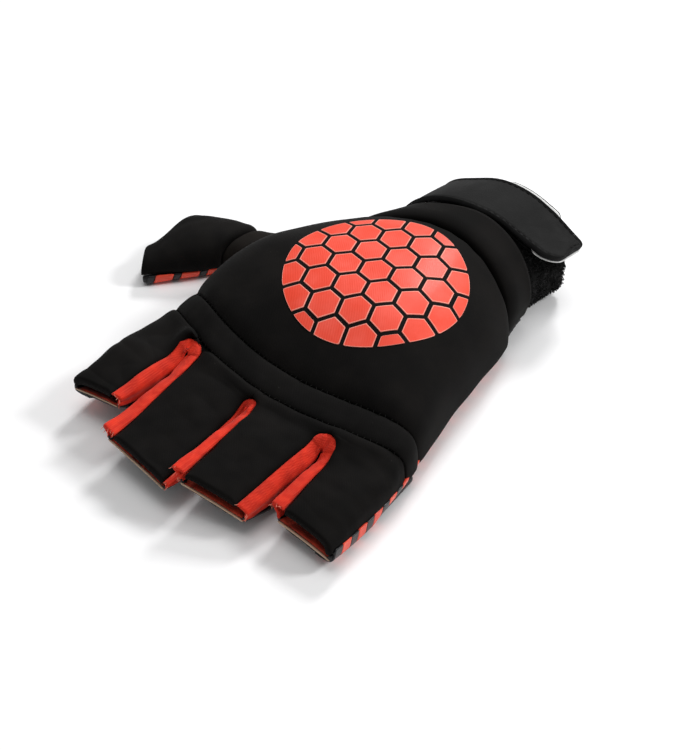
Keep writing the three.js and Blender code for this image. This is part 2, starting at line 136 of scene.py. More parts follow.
# How the worn fingers settle towards their tips: rise, share by which they flatten, extra roll in degrees
SETTLED = [
    [2.6, 0.36, 0],
    [2.8, 0.44, 3],
    [2.6, 0.32, 7],
    [0.8, 0.16, -2],
]

THUMB_ROOT_SHARES = (0.794, 0.265)

# along, shift, width, height
THUMB_SECTIONS = np.array([
    [0.0, 0.39, 0.66, 0.85],
    [0.25, 0.26, 0.78, 0.82],
    [0.47, 0.09, 0.65, 0.86],
    [0.6, -0.02, 0.78, 0.93],
    [0.73, -0.03, 0.98, 1.0],
    [0.81, 0.02, 0.97, 0.95],
    [0.88, 0.16, 0.76, 0.84],
    [0.94, 0.27, 0.6, 0.72],
    [1.0, 0.34, 0.52, 0.66],
])

half_width = PALM_WIDTH / 2
rim_y = -PALM_ORIGIN * HAND_LENGTH
root_y = (1 - PALM_ORIGIN) * HAND_LENGTH
collar_y = rim_y + CUFF_LENGTH
pad_y = collar_y + COLLAR_LENGTH
band_end_y = root_y - BAND_REACH
knuckle_y = band_end_y - BAND_LENGTH
tip_y = root_y + FINGER_REACH
seam_z = PALM_RISE + SEAM_GAP / 2
finger_sides = [INDEX_SIDE, *SLITS, LITTLE_SIDE]
rng = np.random.default_rng(7)


# Small mathematics

def lerp(a, b, t):
    return a + (b - a) * t


def smooth(low, high, value):
    """0 at low and beyond it, 1 at high and beyond it, and a smooth step between them."""
    t = np.clip((value - low) / (high - low), 0, 1)
    return t * t * (3 - 2 * t)


def graded(count, ends=0.6):
    """Shares from 0 to 1, closer together at both ends."""
    t = np.linspace(0, 1, count)
    return lerp(t, 0.5 - 0.5 * np.cos(np.pi * t), ends)


def unit(vectors):
    return vectors / np.maximum(np.linalg.norm(vectors, axis=-1, keepdims=True), 1e-9)


def row_at(rows, along):
    """A row of a table at a share along it, on a smooth curve through the rows."""
    last = len(rows) - 1
    i = int(np.clip(np.searchsorted(rows[:, 0], along) - 1, 0, last - 1))
    b, c = rows[i], rows[i + 1]
    a, d = rows[max(i - 1, 0)], rows[min(i + 2, last)]
    span = c[0] - b[0]
    t = min(max((along - b[0]) / span, 0), 1)
    slope_b = span * (c - a) / (c[0] - a[0])
    slope_c = span * (d - b) / (d[0] - b[0])
    row = b * (2 * t**3 - 3 * t**2 + 1) + slope_b * (t**3 - 2 * t**2 + t)
    return row + c * (3 * t**2 - 2 * t**3) + slope_c * (t**3 - t**2)


def run(points, axis):
    """Distance along rows or columns of a grid of points, from the first one."""
    steps = np.linalg.norm(np.diff(points, axis=axis), axis=-1)
    start = np.zeros_like(np.take(steps, [0], axis))
    return np.concatenate([start, np.cumsum(steps, axis)], axis)


def read_line(at, length, values):
    """Values kept for the points of a line, read at distances along it."""
    return np.stack([np.interp(at, length, values[:, k]) for k in range(values.shape[1])], -1)


def evenly(points, count):
    """The same line of points at even distances."""
    length = run(points, 0)
    return read_line(np.linspace(0, length[-1], count), length, points)


def ripple(points, size, seed, sharpness=1):
    """Soft uneven waves over points, about from -1 to 1, with bumps of the given size."""
    waves = np.random.default_rng(seed)
    total = np.zeros(points.shape[:-1])
    for _ in range(9):
        direction = waves.normal(size=3)
        direction /= np.linalg.norm(direction)
        length = size * waves.uniform(0.7, 1.9)
        total = total + np.sin(points @ direction * (2 * math.pi / length) + waves.uniform(0, 7))
    total = total / 4
    return np.sign(total) * np.abs(total) ** sharpness


# The glove's surface

def section_curve(section, seam, count):
    """Points (x, z) at even distances over a section, from its right seam to its left one."""
    left, right, floor, side, crown, roundness = section
    low = np.linspace(floor + 0.02, side, 90)
    sine = ((side - low) / (side - floor)) ** (UNDERSIDE_ROUND / 2)
    cosine = np.sqrt(1 - sine**2) ** (2 / UNDERSIDE_ROUND)
    angle = (0.5 - 0.5 * np.cos(np.linspace(0, np.pi, 240)))[1:-1] * np.pi
    across = np.sign(np.cos(angle)) * np.abs(np.cos(angle)) ** (2 / roundness)
    top_z = side + (crown - side) * np.sin(angle) ** (2 / roundness)
    x = np.concatenate([right * cosine, np.where(across > 0, right, left) * across, -left * cosine[::-1]])
    z = np.concatenate([low, top_z, low[::-1]])
    first = int(np.argmax(z >= seam))
    last = len(z) - 1 - int(np.argmax(z[::-1] >= seam))
    ends = []
    for outside, within in ((first - 1, first), (last + 1, last)):
        t = (seam - z[outside]) / (z[within] - z[outside])
        ends.append([lerp(x[outside], x[within], t), seam])
    line = np.concatenate([[ends[0]], np.stack([x, z], 1)[first:last + 1], [ends[1]]])
    return evenly(line, count)


def hand_section(y, step=0.0):
    """Left and right reach, floor, widest height, crown and roundness, the outline let in by a step."""
    _, little, thumb, crown, side, roundness = row_at(HAND_SECTIONS, (y - rim_y) / HAND_LENGTH)
    left, right = little * half_width - step, thumb * half_width - step
    return left, right, 0, side * CROWN_HEIGHT, crown * CROWN_HEIGHT - step, roundness


class Skin:
    """A surface kept as a table: columns at even distances between its seams, rows at even steps."""

    def __init__(self, low, high, table):
        self.low = low
        self.high = high
        self.table = table

    def at(self, share, row):
        rows, columns, _ = self.table.shape
        r = np.clip((row - self.low) / (self.high - self.low), 0, 1) * (rows - 1)
        c = np.clip(share, 0, 1) * (columns - 1)
        r0 = np.minimum(r.astype(int), rows - 2)
        c0 = np.minimum(c.astype(int), columns - 2)
        fr = (r - r0)[..., None]
        fc = (c - c0)[..., None]
        near = lerp(self.table[r0, c0], self.table[r0, c0 + 1], fc)
        far = lerp(self.table[r0 + 1, c0], self.table[r0 + 1, c0 + 1], fc)
        return lerp(near, far, fr)

    def share_of_x(self, x, row):
        """Where along a row its top passes x."""
        shares = np.linspace(0, 1, 400)
        curve = self.at(shares, np.full(400, float(row)))
        height = curve[:, -1]
        top = height > lerp(height.min(), height.max(), 0.5)
        return float(np.interp(-x, -curve[top][:, 0], shares[top]))


def hand_skin():
    ys = np.arange(-99.0, 48.01, 1.0)
    rows = []
    for y in ys:
        curve = section_curve(hand_section(y), seam_z, 261)
        rows.append(np.stack([curve[:, 0], np.full(261, y), curve[:, 1]], 1))
    return Skin(ys[0], ys[-1], np.array(rows))


hand = hand_skin()


def finger_reach(index):
    return FINGERS[index][0] * FINGER_REACH


def share_along(index, y):
    """The share along a finger from its root to its open end."""
    return np.clip((y - root_y) / finger_reach(index), 0, 1)


def finger_plan(index, y):
    """A finger's middle x and its half width."""
    right = side_x(finger_sides[index], y, -1)
    left = side_x(finger_sides[index + 1], y, 1)
    return (left + right) / 2, (right - left) / 2


def side_x(side, y, towards):
    """The plan x of a finger's side at y: an outer side, or a slit's edge."""
    root_x, end_x, root_gap, end_gap = side[:4]
    t = (y - root_y) / (tip_y - SLIT_END - root_y)
    return lerp(root_x, end_x, t) * half_width + towards * lerp(root_gap, end_gap, t) * PALM_WIDTH / 2


def through(root, middle, tip, t):
    return root * (1 - t) * (1 - 2 * t) + middle * 4 * t * (1 - t) + tip * t * (2 * t - 1)


def finger_skin(index, seam):
    """A finger's sections by its share along, in half widths, from a seam's height over its floor."""
    _, root, middle, tip, lift, _, _ = FINGERS[index]
    rows = []
    for along in np.linspace(0, 1, 41):
        _, half = finger_plan(index, root_y + along * finger_reach(index))
        floor = lift * FINGER_LIFT * along**2
        height = through(root, middle, tip, along) * FINGER_HEIGHT
        section = half, half, floor, floor + FINGER_SIDE_SHARE * height, floor + height, FINGER_ROUND
        curve = section_curve(section, floor + seam, 161)
        curve[:, 0] /= half
        rows.append(curve)
    return Skin(0, 1, np.array(rows))


finger_skins = [finger_skin(index, seam_z) for index in range(4)]
gusset_skins = [finger_skin(index, GUSSET_FOOT) for index in range(4)]


def on_finger(index, share, y, skins=finger_skins):
    """Points of a finger's skin, in the glove's frame, before the tip's roll and slant."""
    curve = skins[index].at(share, share_along(index, y))
    middle, half = finger_plan(index, y)
    return np.stack([middle + curve[..., 0] * half, y + 0 * curve[..., 0], curve[..., 1]], -1)


def posed(index, points):
    """Points of a finger with the roll and the slant of its tip, settled as the worn glove is."""
    tilt, slant = FINGERS[index][5:]
    y = points[..., 1]
    along = share_along(index, y)
    beside = points[..., 0] - finger_plan(index, y)[0]
    moved = points.copy()
    moved[..., 1] += beside * slant * along
    moved[..., 2] += beside * math.tan(math.radians(tilt)) * along
    return settled(index, moved, along, beside)


def settled(index, points, along, beside):
    """Points of a posed finger, raised, flattened and rolled towards its tip."""
    rise, flat, roll = SETTLED[index]
    lift, tilt = FINGERS[index][4:6]
    floor = lift * FINGER_LIFT * along**2 + beside * math.tan(math.radians(tilt)) * along
    worn = along**1.7
    moved = points.copy()
    rolled = beside * math.tan(math.radians(roll))
    moved[..., 2] += worn * (rise + rolled - flat * (points[..., 2] - floor))
    return moved


def slit_start(slit):
    return root_y - slit[4] * HAND_LENGTH


def cover_edge(slit, y, towards):
    """The plan x where the cover beside a slit ends: round the slit's cap, then along the gusset."""
    start = slit_start(slit)
    cloth = {1: slit[5] * GUSSET_SHOULDER, -1: slit[6] * GUSSET_SHOULDER}
    edge = {side: side_x(slit, start, side) + side * cloth[side] for side in (1, -1)}
    centre = (edge[1] + edge[-1]) / 2
    radius = (edge[1] - edge[-1]) / 2
    if y <= start - radius:
        return centre
    if y < start:
        return centre + towards * math.sqrt(max(radius**2 - (start - y) ** 2, 0))
    return side_x(slit, y, towards) + towards * cloth[towards]


def arc(y, radius, centre, towards_wrist, x):
    offset = np.minimum(np.abs(x - centre), 0.6 * radius)
    sag = radius - np.sqrt(radius**2 - offset**2)
    return y - sag if towards_wrist else y + sag


def wrist_seam(x):
    return arc(pad_y, PAD_ARC_RADIUS, 0, False, x)


def collar_seam(x):
    return arc(collar_y, COLLAR_ARC_RADIUS, 0, False, x)


def knuckle_seam(x):
    return arc(knuckle_y, KNUCKLE_ARC_RADIUS, KNUCKLE_ARC_SHIFT, True, x)


def band_seam(x):
    return arc(band_end_y, KNUCKLE_ARC_RADIUS, KNUCKLE_ARC_SHIFT, True, x)


# The thumb

thumb_root = np.array([THUMB_ROOT_SHARES[0] * half_width, rim_y + THUMB_ROOT_SHARES[1] * HAND_LENGTH])
thumb_axis = np.array([math.cos(THUMB_ANGLE), math.sin(THUMB_ANGLE)])
thumb_right = np.array([math.sin(THUMB_ANGLE), -math.cos(THUMB_ANGLE)])
thumb_rows = np.array([row_at(THUMB_SECTIONS, t) for t in np.linspace(0, 1, 201)])


def thumb_row(along):
    return [np.interp(along, thumb_rows[:, 0], thumb_rows[:, k]) for k in (1, 2, 3)]


def in_thumb(points):
    """Whether points are inside the thumb's form."""
    away = points[..., :2] - thumb_root
    along = away @ thumb_axis / THUMB_REACH
    shift, width, height = thumb_row(along)
    beside = (away @ thumb_right + shift * THUMB_WIDTH) / (width * THUMB_WIDTH / 2)
    side = THUMB_SIDE_SHARE * height * THUMB_HEIGHT
    rise = (points[..., 2] - side) / (height * THUMB_HEIGHT - side)
    full = np.abs(beside) ** THUMB_ROUND + np.maximum(rise, 0) ** THUMB_ROUND
    return (full < 1) & (along > 0) & (along < 1)


def thumb_skin():
    rows = []
    for along in np.linspace(0, 1, 121):
        shift, width, height = thumb_row(along)
        half = width * THUMB_WIDTH / 2
        top = height * THUMB_HEIGHT
        curve = section_curve((half, half, 0, THUMB_SIDE_SHARE * top, top, THUMB_ROUND), seam_z, 161)
        middle = thumb_root + thumb_axis * along * THUMB_REACH - thumb_right * shift * THUMB_WIDTH
        plan = middle + curve[:, :1] * thumb_right
        rows.append(np.concatenate([plan, curve[:, 1:]], 1))
    return Skin(0, 1, np.array(rows))


thumb = thumb_skin()


def thumb_edge_shares():
    """The share of each row of the hand's skin where the back pad meets the thumb's top."""
    shares = []
    columns = hand.table.shape[1]
    for row in hand.table:
        covered = in_thumb(row[:columns // 2])
        shares.append((np.max(np.nonzero(covered)[0]) + 1) / (columns - 1) if covered.any() else 0)
    window = np.hanning(7)
    return np.convolve(shares, window / window.sum(), "same")


thumb_edge = thumb_edge_shares()


# Making pieces

def add_object(name, data):
    thing = bpy.data.objects.new(name, data)
    bpy.context.scene.collection.objects.link(thing)
    return thing


def add_mesh(name, points, faces, material):
    mesh = bpy.data.meshes.new(name)
    mesh.from_pydata((np.asarray(points) * MM).tolist(), [], [list(map(int, face)) for face in faces])
    mesh.validate()
    mesh.shade_smooth()
    mesh.materials.append(material)
    piece = add_object(name, mesh)
    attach(piece, "root")
    return piece


def grid_faces(rows, columns, start=0, flip=False, closed=False):
    last = columns if closed else columns - 1
    r, c = np.meshgrid(np.arange(rows - 1), np.arange(last), indexing="ij")
    a = start + r * columns + c
    b = start + r * columns + (c + 1) % columns
    quads = np.stack([a, a + columns, b + columns, b], -1).reshape(-1, 4)
    return quads[:, ::-1] if flip else quads


def grid_normals(points):
    """Outward directions of a grid whose rows run to the fingertips and columns from right to left."""
    return unit(np.cross(np.gradient(points, axis=0), np.gradient(points, axis=1)))


def edge_drop(distance, width, depth):
    """How far a padded surface lies under its full height near a seam."""
    t = np.clip(distance / width, 0, 1)
    return depth * (1 - np.sqrt(1 - (1 - t) ** 2))


def drop_over(points, seams):
    """The drop of a padded grid from its four seams: first row, last row, first column, last column."""
    by_row = run(points, 0)
    by_column = run(points, 1)
    distances = [by_row, by_row[-1:] - by_row, by_column, by_column[:, -1:] - by_column]
    drops = [edge_drop(d, width, depth) for d, (depth, width) in zip(distances, seams)]
    return sum(drop**4 for drop in drops) ** 0.25


class Shell:
    """Closed padded sheets that are gathered into one piece."""

    def __init__(self):
        self.points = []
        self.faces = []
        self.count = 0

    def add(self, points, faces):
        points = np.asarray(points).reshape(-1, 3)
        self.faces.extend(np.asarray(faces) + self.count)
        self.points.append(points)
        self.count += len(points)

    def sheet(self, points, wall, seams, relief=0.0, rim=0.8):
        """A padded sheet over a grid: outer side, inner side, and a rim that joins them.

        The seams are the depth and width of its fall at the first row, last row, first column and
        last column."""
        rows, columns, _ = points.shape
        normals = grid_normals(points)
        outer_drop = drop_over(points, seams)
        outer = points + normals * (relief - outer_drop)[..., None]
        inner_seams = [
            (np.maximum(wall - depth - rim, 0), max(width * 0.6, 0.1))
            for depth, width in seams
        ]
        inner = points + normals * (drop_over(points, inner_seams) - wall)[..., None]
        outline = [*range(columns)]
        outline += [r * columns + columns - 1 for r in range(1, rows)]
        outline += [(rows - 1) * columns + c for c in range(columns - 2, -1, -1)]
        outline += [r * columns for r in range(rows - 2, 0, -1)]
        outline = np.array(outline)
        after = np.roll(outline, -1)
        size = rows * columns
        rim_faces = np.stack([outline, after, after + size, outline + size], 1)
        faces = [grid_faces(rows, columns), grid_faces(rows, columns, size, flip=True), rim_faces]
        self.add(np.concatenate([outer.reshape(-1, 3), inner.reshape(-1, 3)]), np.concatenate(faces))

    def tube(self, line, radius, sides=6, ends=0.3):
        """A thread or a fibre along a line of points, with narrowed ends."""
        line = np.asarray(line, float)
        tangent = unit(np.gradient(line, axis=0))
        guide = np.where(np.abs(tangent[:, 2:]) < 0.8, [[0, 0, 1.0]], [[1.0, 0, 0]])
        first = unit(np.cross(tangent, guide))
        second = np.cross(tangent, first)
        radii = np.full(len(line), float(radius))
        radii[[0, -1]] *= ends
        angle = np.arange(sides) * 2 * np.pi / sides
        cosine, sine = np.cos(angle)[None, :, None], np.sin(angle)[None, :, None]
        points = line[:, None] + (first[:, None] * cosine + second[:, None] * sine) * radii[:, None, None]
        faces = list(grid_faces(len(line), sides, closed=True, flip=True))
        self.add(points, faces)
        self.faces.append(np.arange(sides) + self.count - len(line) * sides)
        self.faces.append(np.arange(sides)[::-1] + self.count - sides)

    def piece(self, name, material, slot):
        return add_mesh(name, np.concatenate(self.points), self.faces, material)


# Finishes

class Value:
    """A shader socket that takes part in arithmetic."""

    def __init__(self, finish, socket):
        self.finish = finish
        self.socket = socket

    def maths(self, operation, *values, clamp=False):
        settings = {"operation": operation, "use_clamp": clamp}
        return self.finish.node("ShaderNodeMath", settings, dict(enumerate(values)))

    def __add__(self, other):
        return self.maths("ADD", self, other)

    def __sub__(self, other):
        return self.maths("SUBTRACT", self, other)

    def __rsub__(self, other):
        return self.maths("SUBTRACT", other, self)

    def __mul__(self, other):
        return self.maths("MULTIPLY", self, other)

    __radd__ = __add__
    __rmul__ = __mul__

    def power(self, exponent):
        return self.maths("POWER", self, exponent)

    def between(self, low, high):
        """0 below low, 1 above high, smooth between them."""
        values = {"Value": self, "From Min": low, "From Max": high}
        return self.finish.node("ShaderNodeMapRange", {"interpolation_type": "SMOOTHSTEP"}, values)


class Finish:
    """A material and the nodes that give its surface."""

    def __init__(self, name, roughness, sheen=0.0, coat=0.0, specular=0.5):
        self.material = bpy.data.materials.new(name)
        self.material.use_nodes = True
        self.tree = self.material.node_tree
        self.shader = self.tree.nodes["Principled BSDF"]
        self.set("Roughness", roughness)
        self.set("Specular IOR Level", specular)
        self.set("Sheen Weight", sheen)
        self.set("Sheen Roughness", 0.45)
        self.set("Coat Weight", coat)
        self.set("Coat Roughness", 0.18)
        self.place = self.node("ShaderNodeTexCoord", {}, {}, "Object")

    def node(self, kind, settings, inputs, output=0):
        node = self.tree.nodes.new(kind)
        for key, value in settings.items():
            setattr(node, key, value)
        for key, value in inputs.items():
            self.feed(node.inputs[key], value)
        return Value(self, node.outputs[output])

    def feed(self, socket, value):
        if isinstance(value, Value):
            self.tree.links.new(value.socket, socket)
        else:
            socket.default_value = value

    def set(self, name, value):
        self.feed(self.shader.inputs[name], value)

    def noise(self, size, detail):
        """Cloudy noise from 0 to 1 with marks about this many millimetres across."""
        values = {"Vector": self.place, "Scale": 1 / (size * MM), "Detail": detail, "Roughness": 0.55}
        return self.node("ShaderNodeTexNoise", {}, values)

    def cells(self, size):
        """Distance to the nearest of scattered points, about this many millimetres apart."""
        values = {"Vector": self.place, "Scale": 1 / (size * MM)}
        return self.node("ShaderNodeTexVoronoi", {"feature": "F1"}, values)

    def stripes(self, pitch, direction, distortion):
        """Ribs this many millimetres apart, bent by the distortion."""
        scale = 0.314 / (pitch * MM)
        values = {"Vector": self.place, "Scale": scale, "Distortion": distortion, "Detail": 1.0}
        return self.node("ShaderNodeTexWave", {"bands_direction": direction}, values, "Fac")

    def blend(self, factor, first, second):
        """A mix of two colours, each three numbers or an earlier mix."""
        first, second = ((*tone, 1.0) if isinstance(tone, tuple) else tone for tone in (first, second))
        return self.node("ShaderNodeMix", {"data_type": "RGBA"}, {0: factor, 6: first, 7: second}, 2)

    def bump(self, height, depth, strength):
        """Raises the surface by the height times this many millimetres."""
        values = {"Height": height, "Distance": depth * MM, "Strength": strength}
        self.set("Normal", self.node("ShaderNodeBump", {}, values))


def neoprene(name, colour, lift, roughness=0.8, sheen=0.01):
    """Smooth jersey over foam: a fine knit, faint cloudiness and a few specks of lint."""
    finish = Finish(name, roughness, sheen=sheen, specular=0.07)
    knit = finish.stripes(0.55, "DIAGONAL", 1.5) * 0.5 + finish.noise(0.35, 2) * 0.5
    cloud = finish.noise(14, 4)
    lint = 1 - finish.cells(7).between(0.0, 0.035)
    tone = finish.blend(cloud.between(0.3, 0.75), colour, lift)
    tone = finish.blend(knit * 0.35, tone, lift)
    finish.set("Base Color", finish.blend(lint * 0.3, tone, (0.12, 0.11, 0.1)))
    finish.set("Roughness", roughness - 0.12 + cloud * 0.16 + knit * 0.06)
    finish.bump(knit, 0.05, 0.7)
    return finish.material


def elastic(name, colour, deep, light):
    """Stretch knit with fine ribs, paler where it is rubbed."""
    finish = Finish(name, 0.8, sheen=0.08, specular=0.2)
    rib = finish.stripes(0.7, "X", 1.2)
    course = finish.stripes(0.5, "Z", 1.2)
    knit = rib * 0.5 + course * 0.5
    cloud = finish.noise(5, 4)
    tone = finish.blend(cloud.between(0.25, 0.8), deep, colour)
    finish.set("Base Color", finish.blend(knit.power(2) * 0.3, tone, light))
    finish.set("Roughness", 0.72 + cloud * 0.15)
    finish.bump(knit + finish.noise(0.3, 2) * 0.4, 0.08, 0.8)
    return finish.material


def leather(name, colour, lift, roughness, grain=0.8, coat=0.0):
    """Synthetic leather with a small pebbled grain."""
    finish = Finish(name, roughness, coat=coat, specular=0.3)
    pebble = finish.cells(grain)
    wear = finish.noise(9, 4)
    finish.set("Base Color", finish.blend(wear.between(0.45, 0.8) * 0.7, colour, lift))
    finish.set("Roughness", roughness - 0.06 + wear * 0.16)
    finish.bump(pebble + finish.noise(0.4, 2) * 0.3, 0.07, 0.6)
    return finish.material


def rubber_print(name, colour, lift):
    """A thin rubbery print that shows the knit under it."""
    finish = Finish(name, 0.5, coat=0.04, specular=0.25)
    knit = finish.stripes(0.55, "DIAGONAL", 1.5)
    cloud = finish.noise(11, 5)
    finish.set("Base Color", finish.blend(cloud.between(0.35, 0.75), colour, lift))
    finish.set("Roughness", 0.42 + cloud * 0.2)
    finish.bump(knit + cloud, 0.04, 0.6)
    return finish.material


def moulded(name, colour, lift):
    """Matt moulded rubber with a fine even texture."""
    finish = Finish(name, 0.7, specular=0.09)
    grain = finish.cells(0.55)
    rub = finish.noise(8, 5)
    finish.set("Base Color", finish.blend(rub.between(0.4, 0.8), colour, lift))
    finish.set("Roughness", 0.6 + rub * 0.2)
    finish.bump(grain + rub * 0.6, 0.08, 0.8)
    return finish.material


def yarn(name, colour, light, roughness=0.9, sheen=0.3):
    """Thread, fibre or tape: uneven in colour from one strand to the next."""
    finish = Finish(name, roughness, sheen=sheen, specular=0.1)
    strand = finish.noise(0.9, 2)
    finish.set("Base Color", finish.blend(strand.between(0.35, 0.7), colour, light))
    finish.set("Roughness", roughness - 0.1 + strand * 0.15)
    finish.bump(finish.noise(0.25, 2), 0.04, 0.7)
    return finish.material


BLACK_JERSEY = neoprene("black_jersey", (0.0018, 0.0016, 0.0015), (0.0062, 0.0053, 0.0048))
BAND_JERSEY = neoprene("band_jersey", (0.0021, 0.0019, 0.0018), (0.0068, 0.0061, 0.0057))
# The thumb's web is the same black jersey; its lighter, browner tone is painted light, where light falls
# near the thumb
WEB_JERSEY_PAINTED_LIGHT = neoprene("web_jersey_painted_light", (0.0052, 0.0042, 0.0035), (0.0115, 0.009, 0.0074))
RED_ELASTIC = elastic("red_elastic", (0.74, 0.03, 0.01), (0.46, 0.012, 0.004), (0.84, 0.085, 0.035))
# The lining is red cloth; its darker red is painted shade for the shade inside the open finger ends
RED_LINING_PAINTED_SHADE = elastic("red_lining_painted_shade", (0.5, 0.045, 0.018), (0.26, 0.02, 0.01), (0.66, 0.11, 0.05))
BLACK_LEATHER = leather("black_leather", (0.004, 0.004, 0.005), (0.012, 0.012, 0.014), 0.42)
ORANGE_BAR = leather("orange_bar", (0.78, 0.06, 0.024), (0.9, 0.12, 0.06), 0.34, 1.1, 0.2)
BLACK_BAR = leather("black_bar", (0.004, 0.004, 0.0055), (0.009, 0.009, 0.012), 0.3, 1.1, 0.12)
CUT_EDGE = leather("cut_edge", (0.52, 0.36, 0.25), (0.66, 0.5, 0.38), 0.8, 0.5)
ORANGE_PRINT = rubber_print("orange_print", (0.8, 0.055, 0.022), (0.85, 0.09, 0.055))
PRINT_RIM = rubber_print("print_rim", (0.88, 0.24, 0.18), (0.92, 0.34, 0.27))
LABEL_RUBBER = moulded("label_rubber", (0.0065, 0.0065, 0.0065), (0.014, 0.014, 0.014))
WHITE_TAPE = yarn("white_tape", (0.66, 0.66, 0.65), (0.82, 0.82, 0.81), 0.9, 0.1)
HOOK_TAPE = yarn("hook_tape", (0.004, 0.004, 0.004), (0.012, 0.012, 0.012), 0.9, 0.0)
PILE = yarn("pile", (0.0022, 0.0022, 0.0022), (0.009, 0.0087, 0.0085), 0.95, 0.08)
BLACK_THREAD = yarn("black_thread", (0.0018, 0.0017, 0.0016), (0.006, 0.0055, 0.005), 0.8, 0.0)
PINK_THREAD = yarn("pink_thread", (0.8, 0.16, 0.1), (0.9, 0.36, 0.26), 0.8, 0.2)


# The padded hand

def hand_patch(low_seam, high_seam, rows, columns, past_thumb=True):
    """A grid of the hand's skin between two seams across it."""
    t = graded(rows)[:, None]
    u = graded(columns)[None, :]
    table_y = np.linspace(hand.low, hand.high, len(thumb_edge))
    y = lerp(low_seam(0.0), high_seam(0.0), t) + 0 * u
    for _ in range(14):
        start = np.interp(y, table_y, thumb_edge) if past_thumb else 0 * y
        share = lerp(start, 1, u)
        x = hand.at(share, y)[..., 0]
        y = lerp(y, lerp(low_seam(x), high_seam(x), t), 0.7)
    return hand.at(share, y)


def padded_piece(name, points, wall, seams, relief, material):
    shell = Shell()
    shell.sheet(points, wall, seams, relief)
    piece = shell.piece(name, material, name)
    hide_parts(name)
    return piece


def seam_puckers(points, size, reach, seed):
    """Small gathers that die away from the last row of a grid."""
    by_row = run(points, 0)
    away = np.minimum(by_row[-1:] - by_row, by_row)
    return ripple(points * [1, 0.25, 0.25], size, seed) * np.exp(-away / reach)


SIDE_BULGE = 1.7  # how far the pads swell over the palm's edge on the little finger's side


def build_back_pad():
    points = hand_patch(lambda x: wrist_seam(x) + 0.1, lambda x: knuckle_seam(x) - 0.1, 150, 190)
    relief = 0.28 * ripple(points, 26, 3) + 0.2 * seam_puckers(points, 7, 5, 4)
    from_side = run(points, 1)[:, -1:] - run(points, 1)
    relief = relief + SIDE_BULGE * (1 - smooth(3, 30, from_side))
    seams = [(2.6, 7), (2.4, 8), (3.0, 8), (1.6, 3)]
    return padded_piece("back_pad", points, PAD_WALL, seams, relief, BLACK_JERSEY)


def build_knuckle_band():
    points = hand_patch(lambda x: knuckle_seam(x) + 0.1, lambda x: band_seam(x) - 0.1, 44, 200)
    relief = 0.12 * ripple(points, 16, 8) + 0.22 * seam_puckers(points, 4.5, 5, 9)
    from_side = run(points, 1)[:, -1:] - run(points, 1)
    relief = relief + 0.7 * SIDE_BULGE * (1 - smooth(2, 20, from_side))
    seams = [(1.3, 5), (1.2, 4.5), (1.2, 4), (1.0, 2.5)]
    return padded_piece("knuckle_band", points, BAND_WALL, seams, relief, BAND_JERSEY)


COLLAR_LIP = 1.5  # how far the collar's edge swells up beside the strap
COLLAR_TUCK = 2.6  # how far it goes under the strap on the little finger's side
COLLAR_SWELL = 1.3  # how far it swells at its highest side
COLLAR_FALL = 1.8  # how far it falls away beside the palm


def collar_start(x):
    """The collar's edge at the wrist, pushed under the strap on the little finger's side."""
    return collar_seam(x) + 0.1 - COLLAR_TUCK * smooth(5, -25, x)


def build_cuff_collar():
    points = hand_patch(collar_start, lambda x: wrist_seam(x) - 0.1, 60, 170)
    across = np.linspace(0, 1, points.shape[1])[None, :]
    relief = 0.9 + COLLAR_LIP * smooth(0.35, 0.6, across) * np.exp(-run(points, 0) / 6)
    relief = relief + 0.25 * ripple(points, 18, 12)
    relief = relief + COLLAR_SWELL * smooth(0.4, 0.65, across) * (1 - smooth(0.68, 0.9, across))
    relief = relief - COLLAR_FALL * smooth(0.84, 0.97, across)
    seams = [(3.6, 3.4), (2.8, 6), (1.8, 4), (1.8, 4)]
    return padded_piece("cuff_collar", points, COLLAR_WALL, seams, relief, BLACK_JERSEY)


# The fingers' covers and gussets

def finger_shares(index, place):
    """Shares of the finger's and of the hand's skin at the two edges of a row of the finger's cover.

    The place gives y for each x along the row."""
    skin = finger_skins[index]
    edges = []
    for slit, towards, outer in ((finger_sides[index], -1, 0.0), (finger_sides[index + 1], 1, 1.0)):
        if slit[2] == 0:
            edges.append((outer, outer))
            continue
        y = place(0)
        for _ in range(4):
            y = place(cover_edge(slit, y, towards))
        x = cover_edge(slit, y, towards)
        middle, half = finger_plan(index, y)
        along = share_along(index, y)
        edges.append((skin.share_of_x((x - middle) / half, along), hand.share_of_x(x, min(y, hand.high))))
    return edges


# slit, side of its cap towards the thumb (1) or the little finger (-1), rise of the cover, width
CAP_SWELLS = [(0, 1, 3.3, 4.2), (0, -1, -2.6, 4.2), (2, -1, 1.8, 4.2), (2, 0, 0.8, 2.4)]


def cap_swell(x, y):
    """How far the fingers' covers rise beside the caps of the slits."""
    rise = 0 * x
    for number, towards, height, width in CAP_SWELLS:
        start = slit_start(SLITS[number])
        sides = [cover_edge(SLITS[number], start, side) for side in (1, -1)]
        middle = (sides[0] + sides[1]) / 2 + towards * ((sides[0] - sides[1]) / 2 - 1.2)
        away_x = (x - middle) / width
        away_y = (y - start + 2.5) / 5.5
        rise = rise + height * np.exp(-(away_x**2) - away_y**2)
    return rise


def finger_cover(index, rows, columns):
    """A grid of the black cover of a finger, from the knuckle band to its open end."""
    end_y = root_y + finger_reach(index)
    middle, _ = finger_plan(index, root_y)
    start_y = float(band_seam(middle)) + 0.1
    u = graded(columns)
    grid = []
    for t in graded(rows, 0.5):
        level = lerp(start_y, end_y, t)
        place = lambda x: level + (band_seam(x) + 0.1 - start_y) * (1 - t) ** 2
        (finger_right, hand_right), (finger_left, hand_left) = finger_shares(index, place)
        finger_share = lerp(finger_right, finger_left, u)
        hand_share = lerp(hand_right, hand_left, u)
        x = hand.at(hand_share, np.full(columns, min(level, hand.high)))[:, 0]
        y = place(x)
        on_hand = hand.at(hand_share, y)
        weight = smooth(start_y + 1, root_y + 5, level)
        grid.append(lerp(on_hand, on_finger(index, finger_share, y), weight))
        grid[-1][:, 1] = y
        grid[-1][:, 2] += cap_swell(grid[-1][:, 0], y)
    return posed(index, np.array(grid))


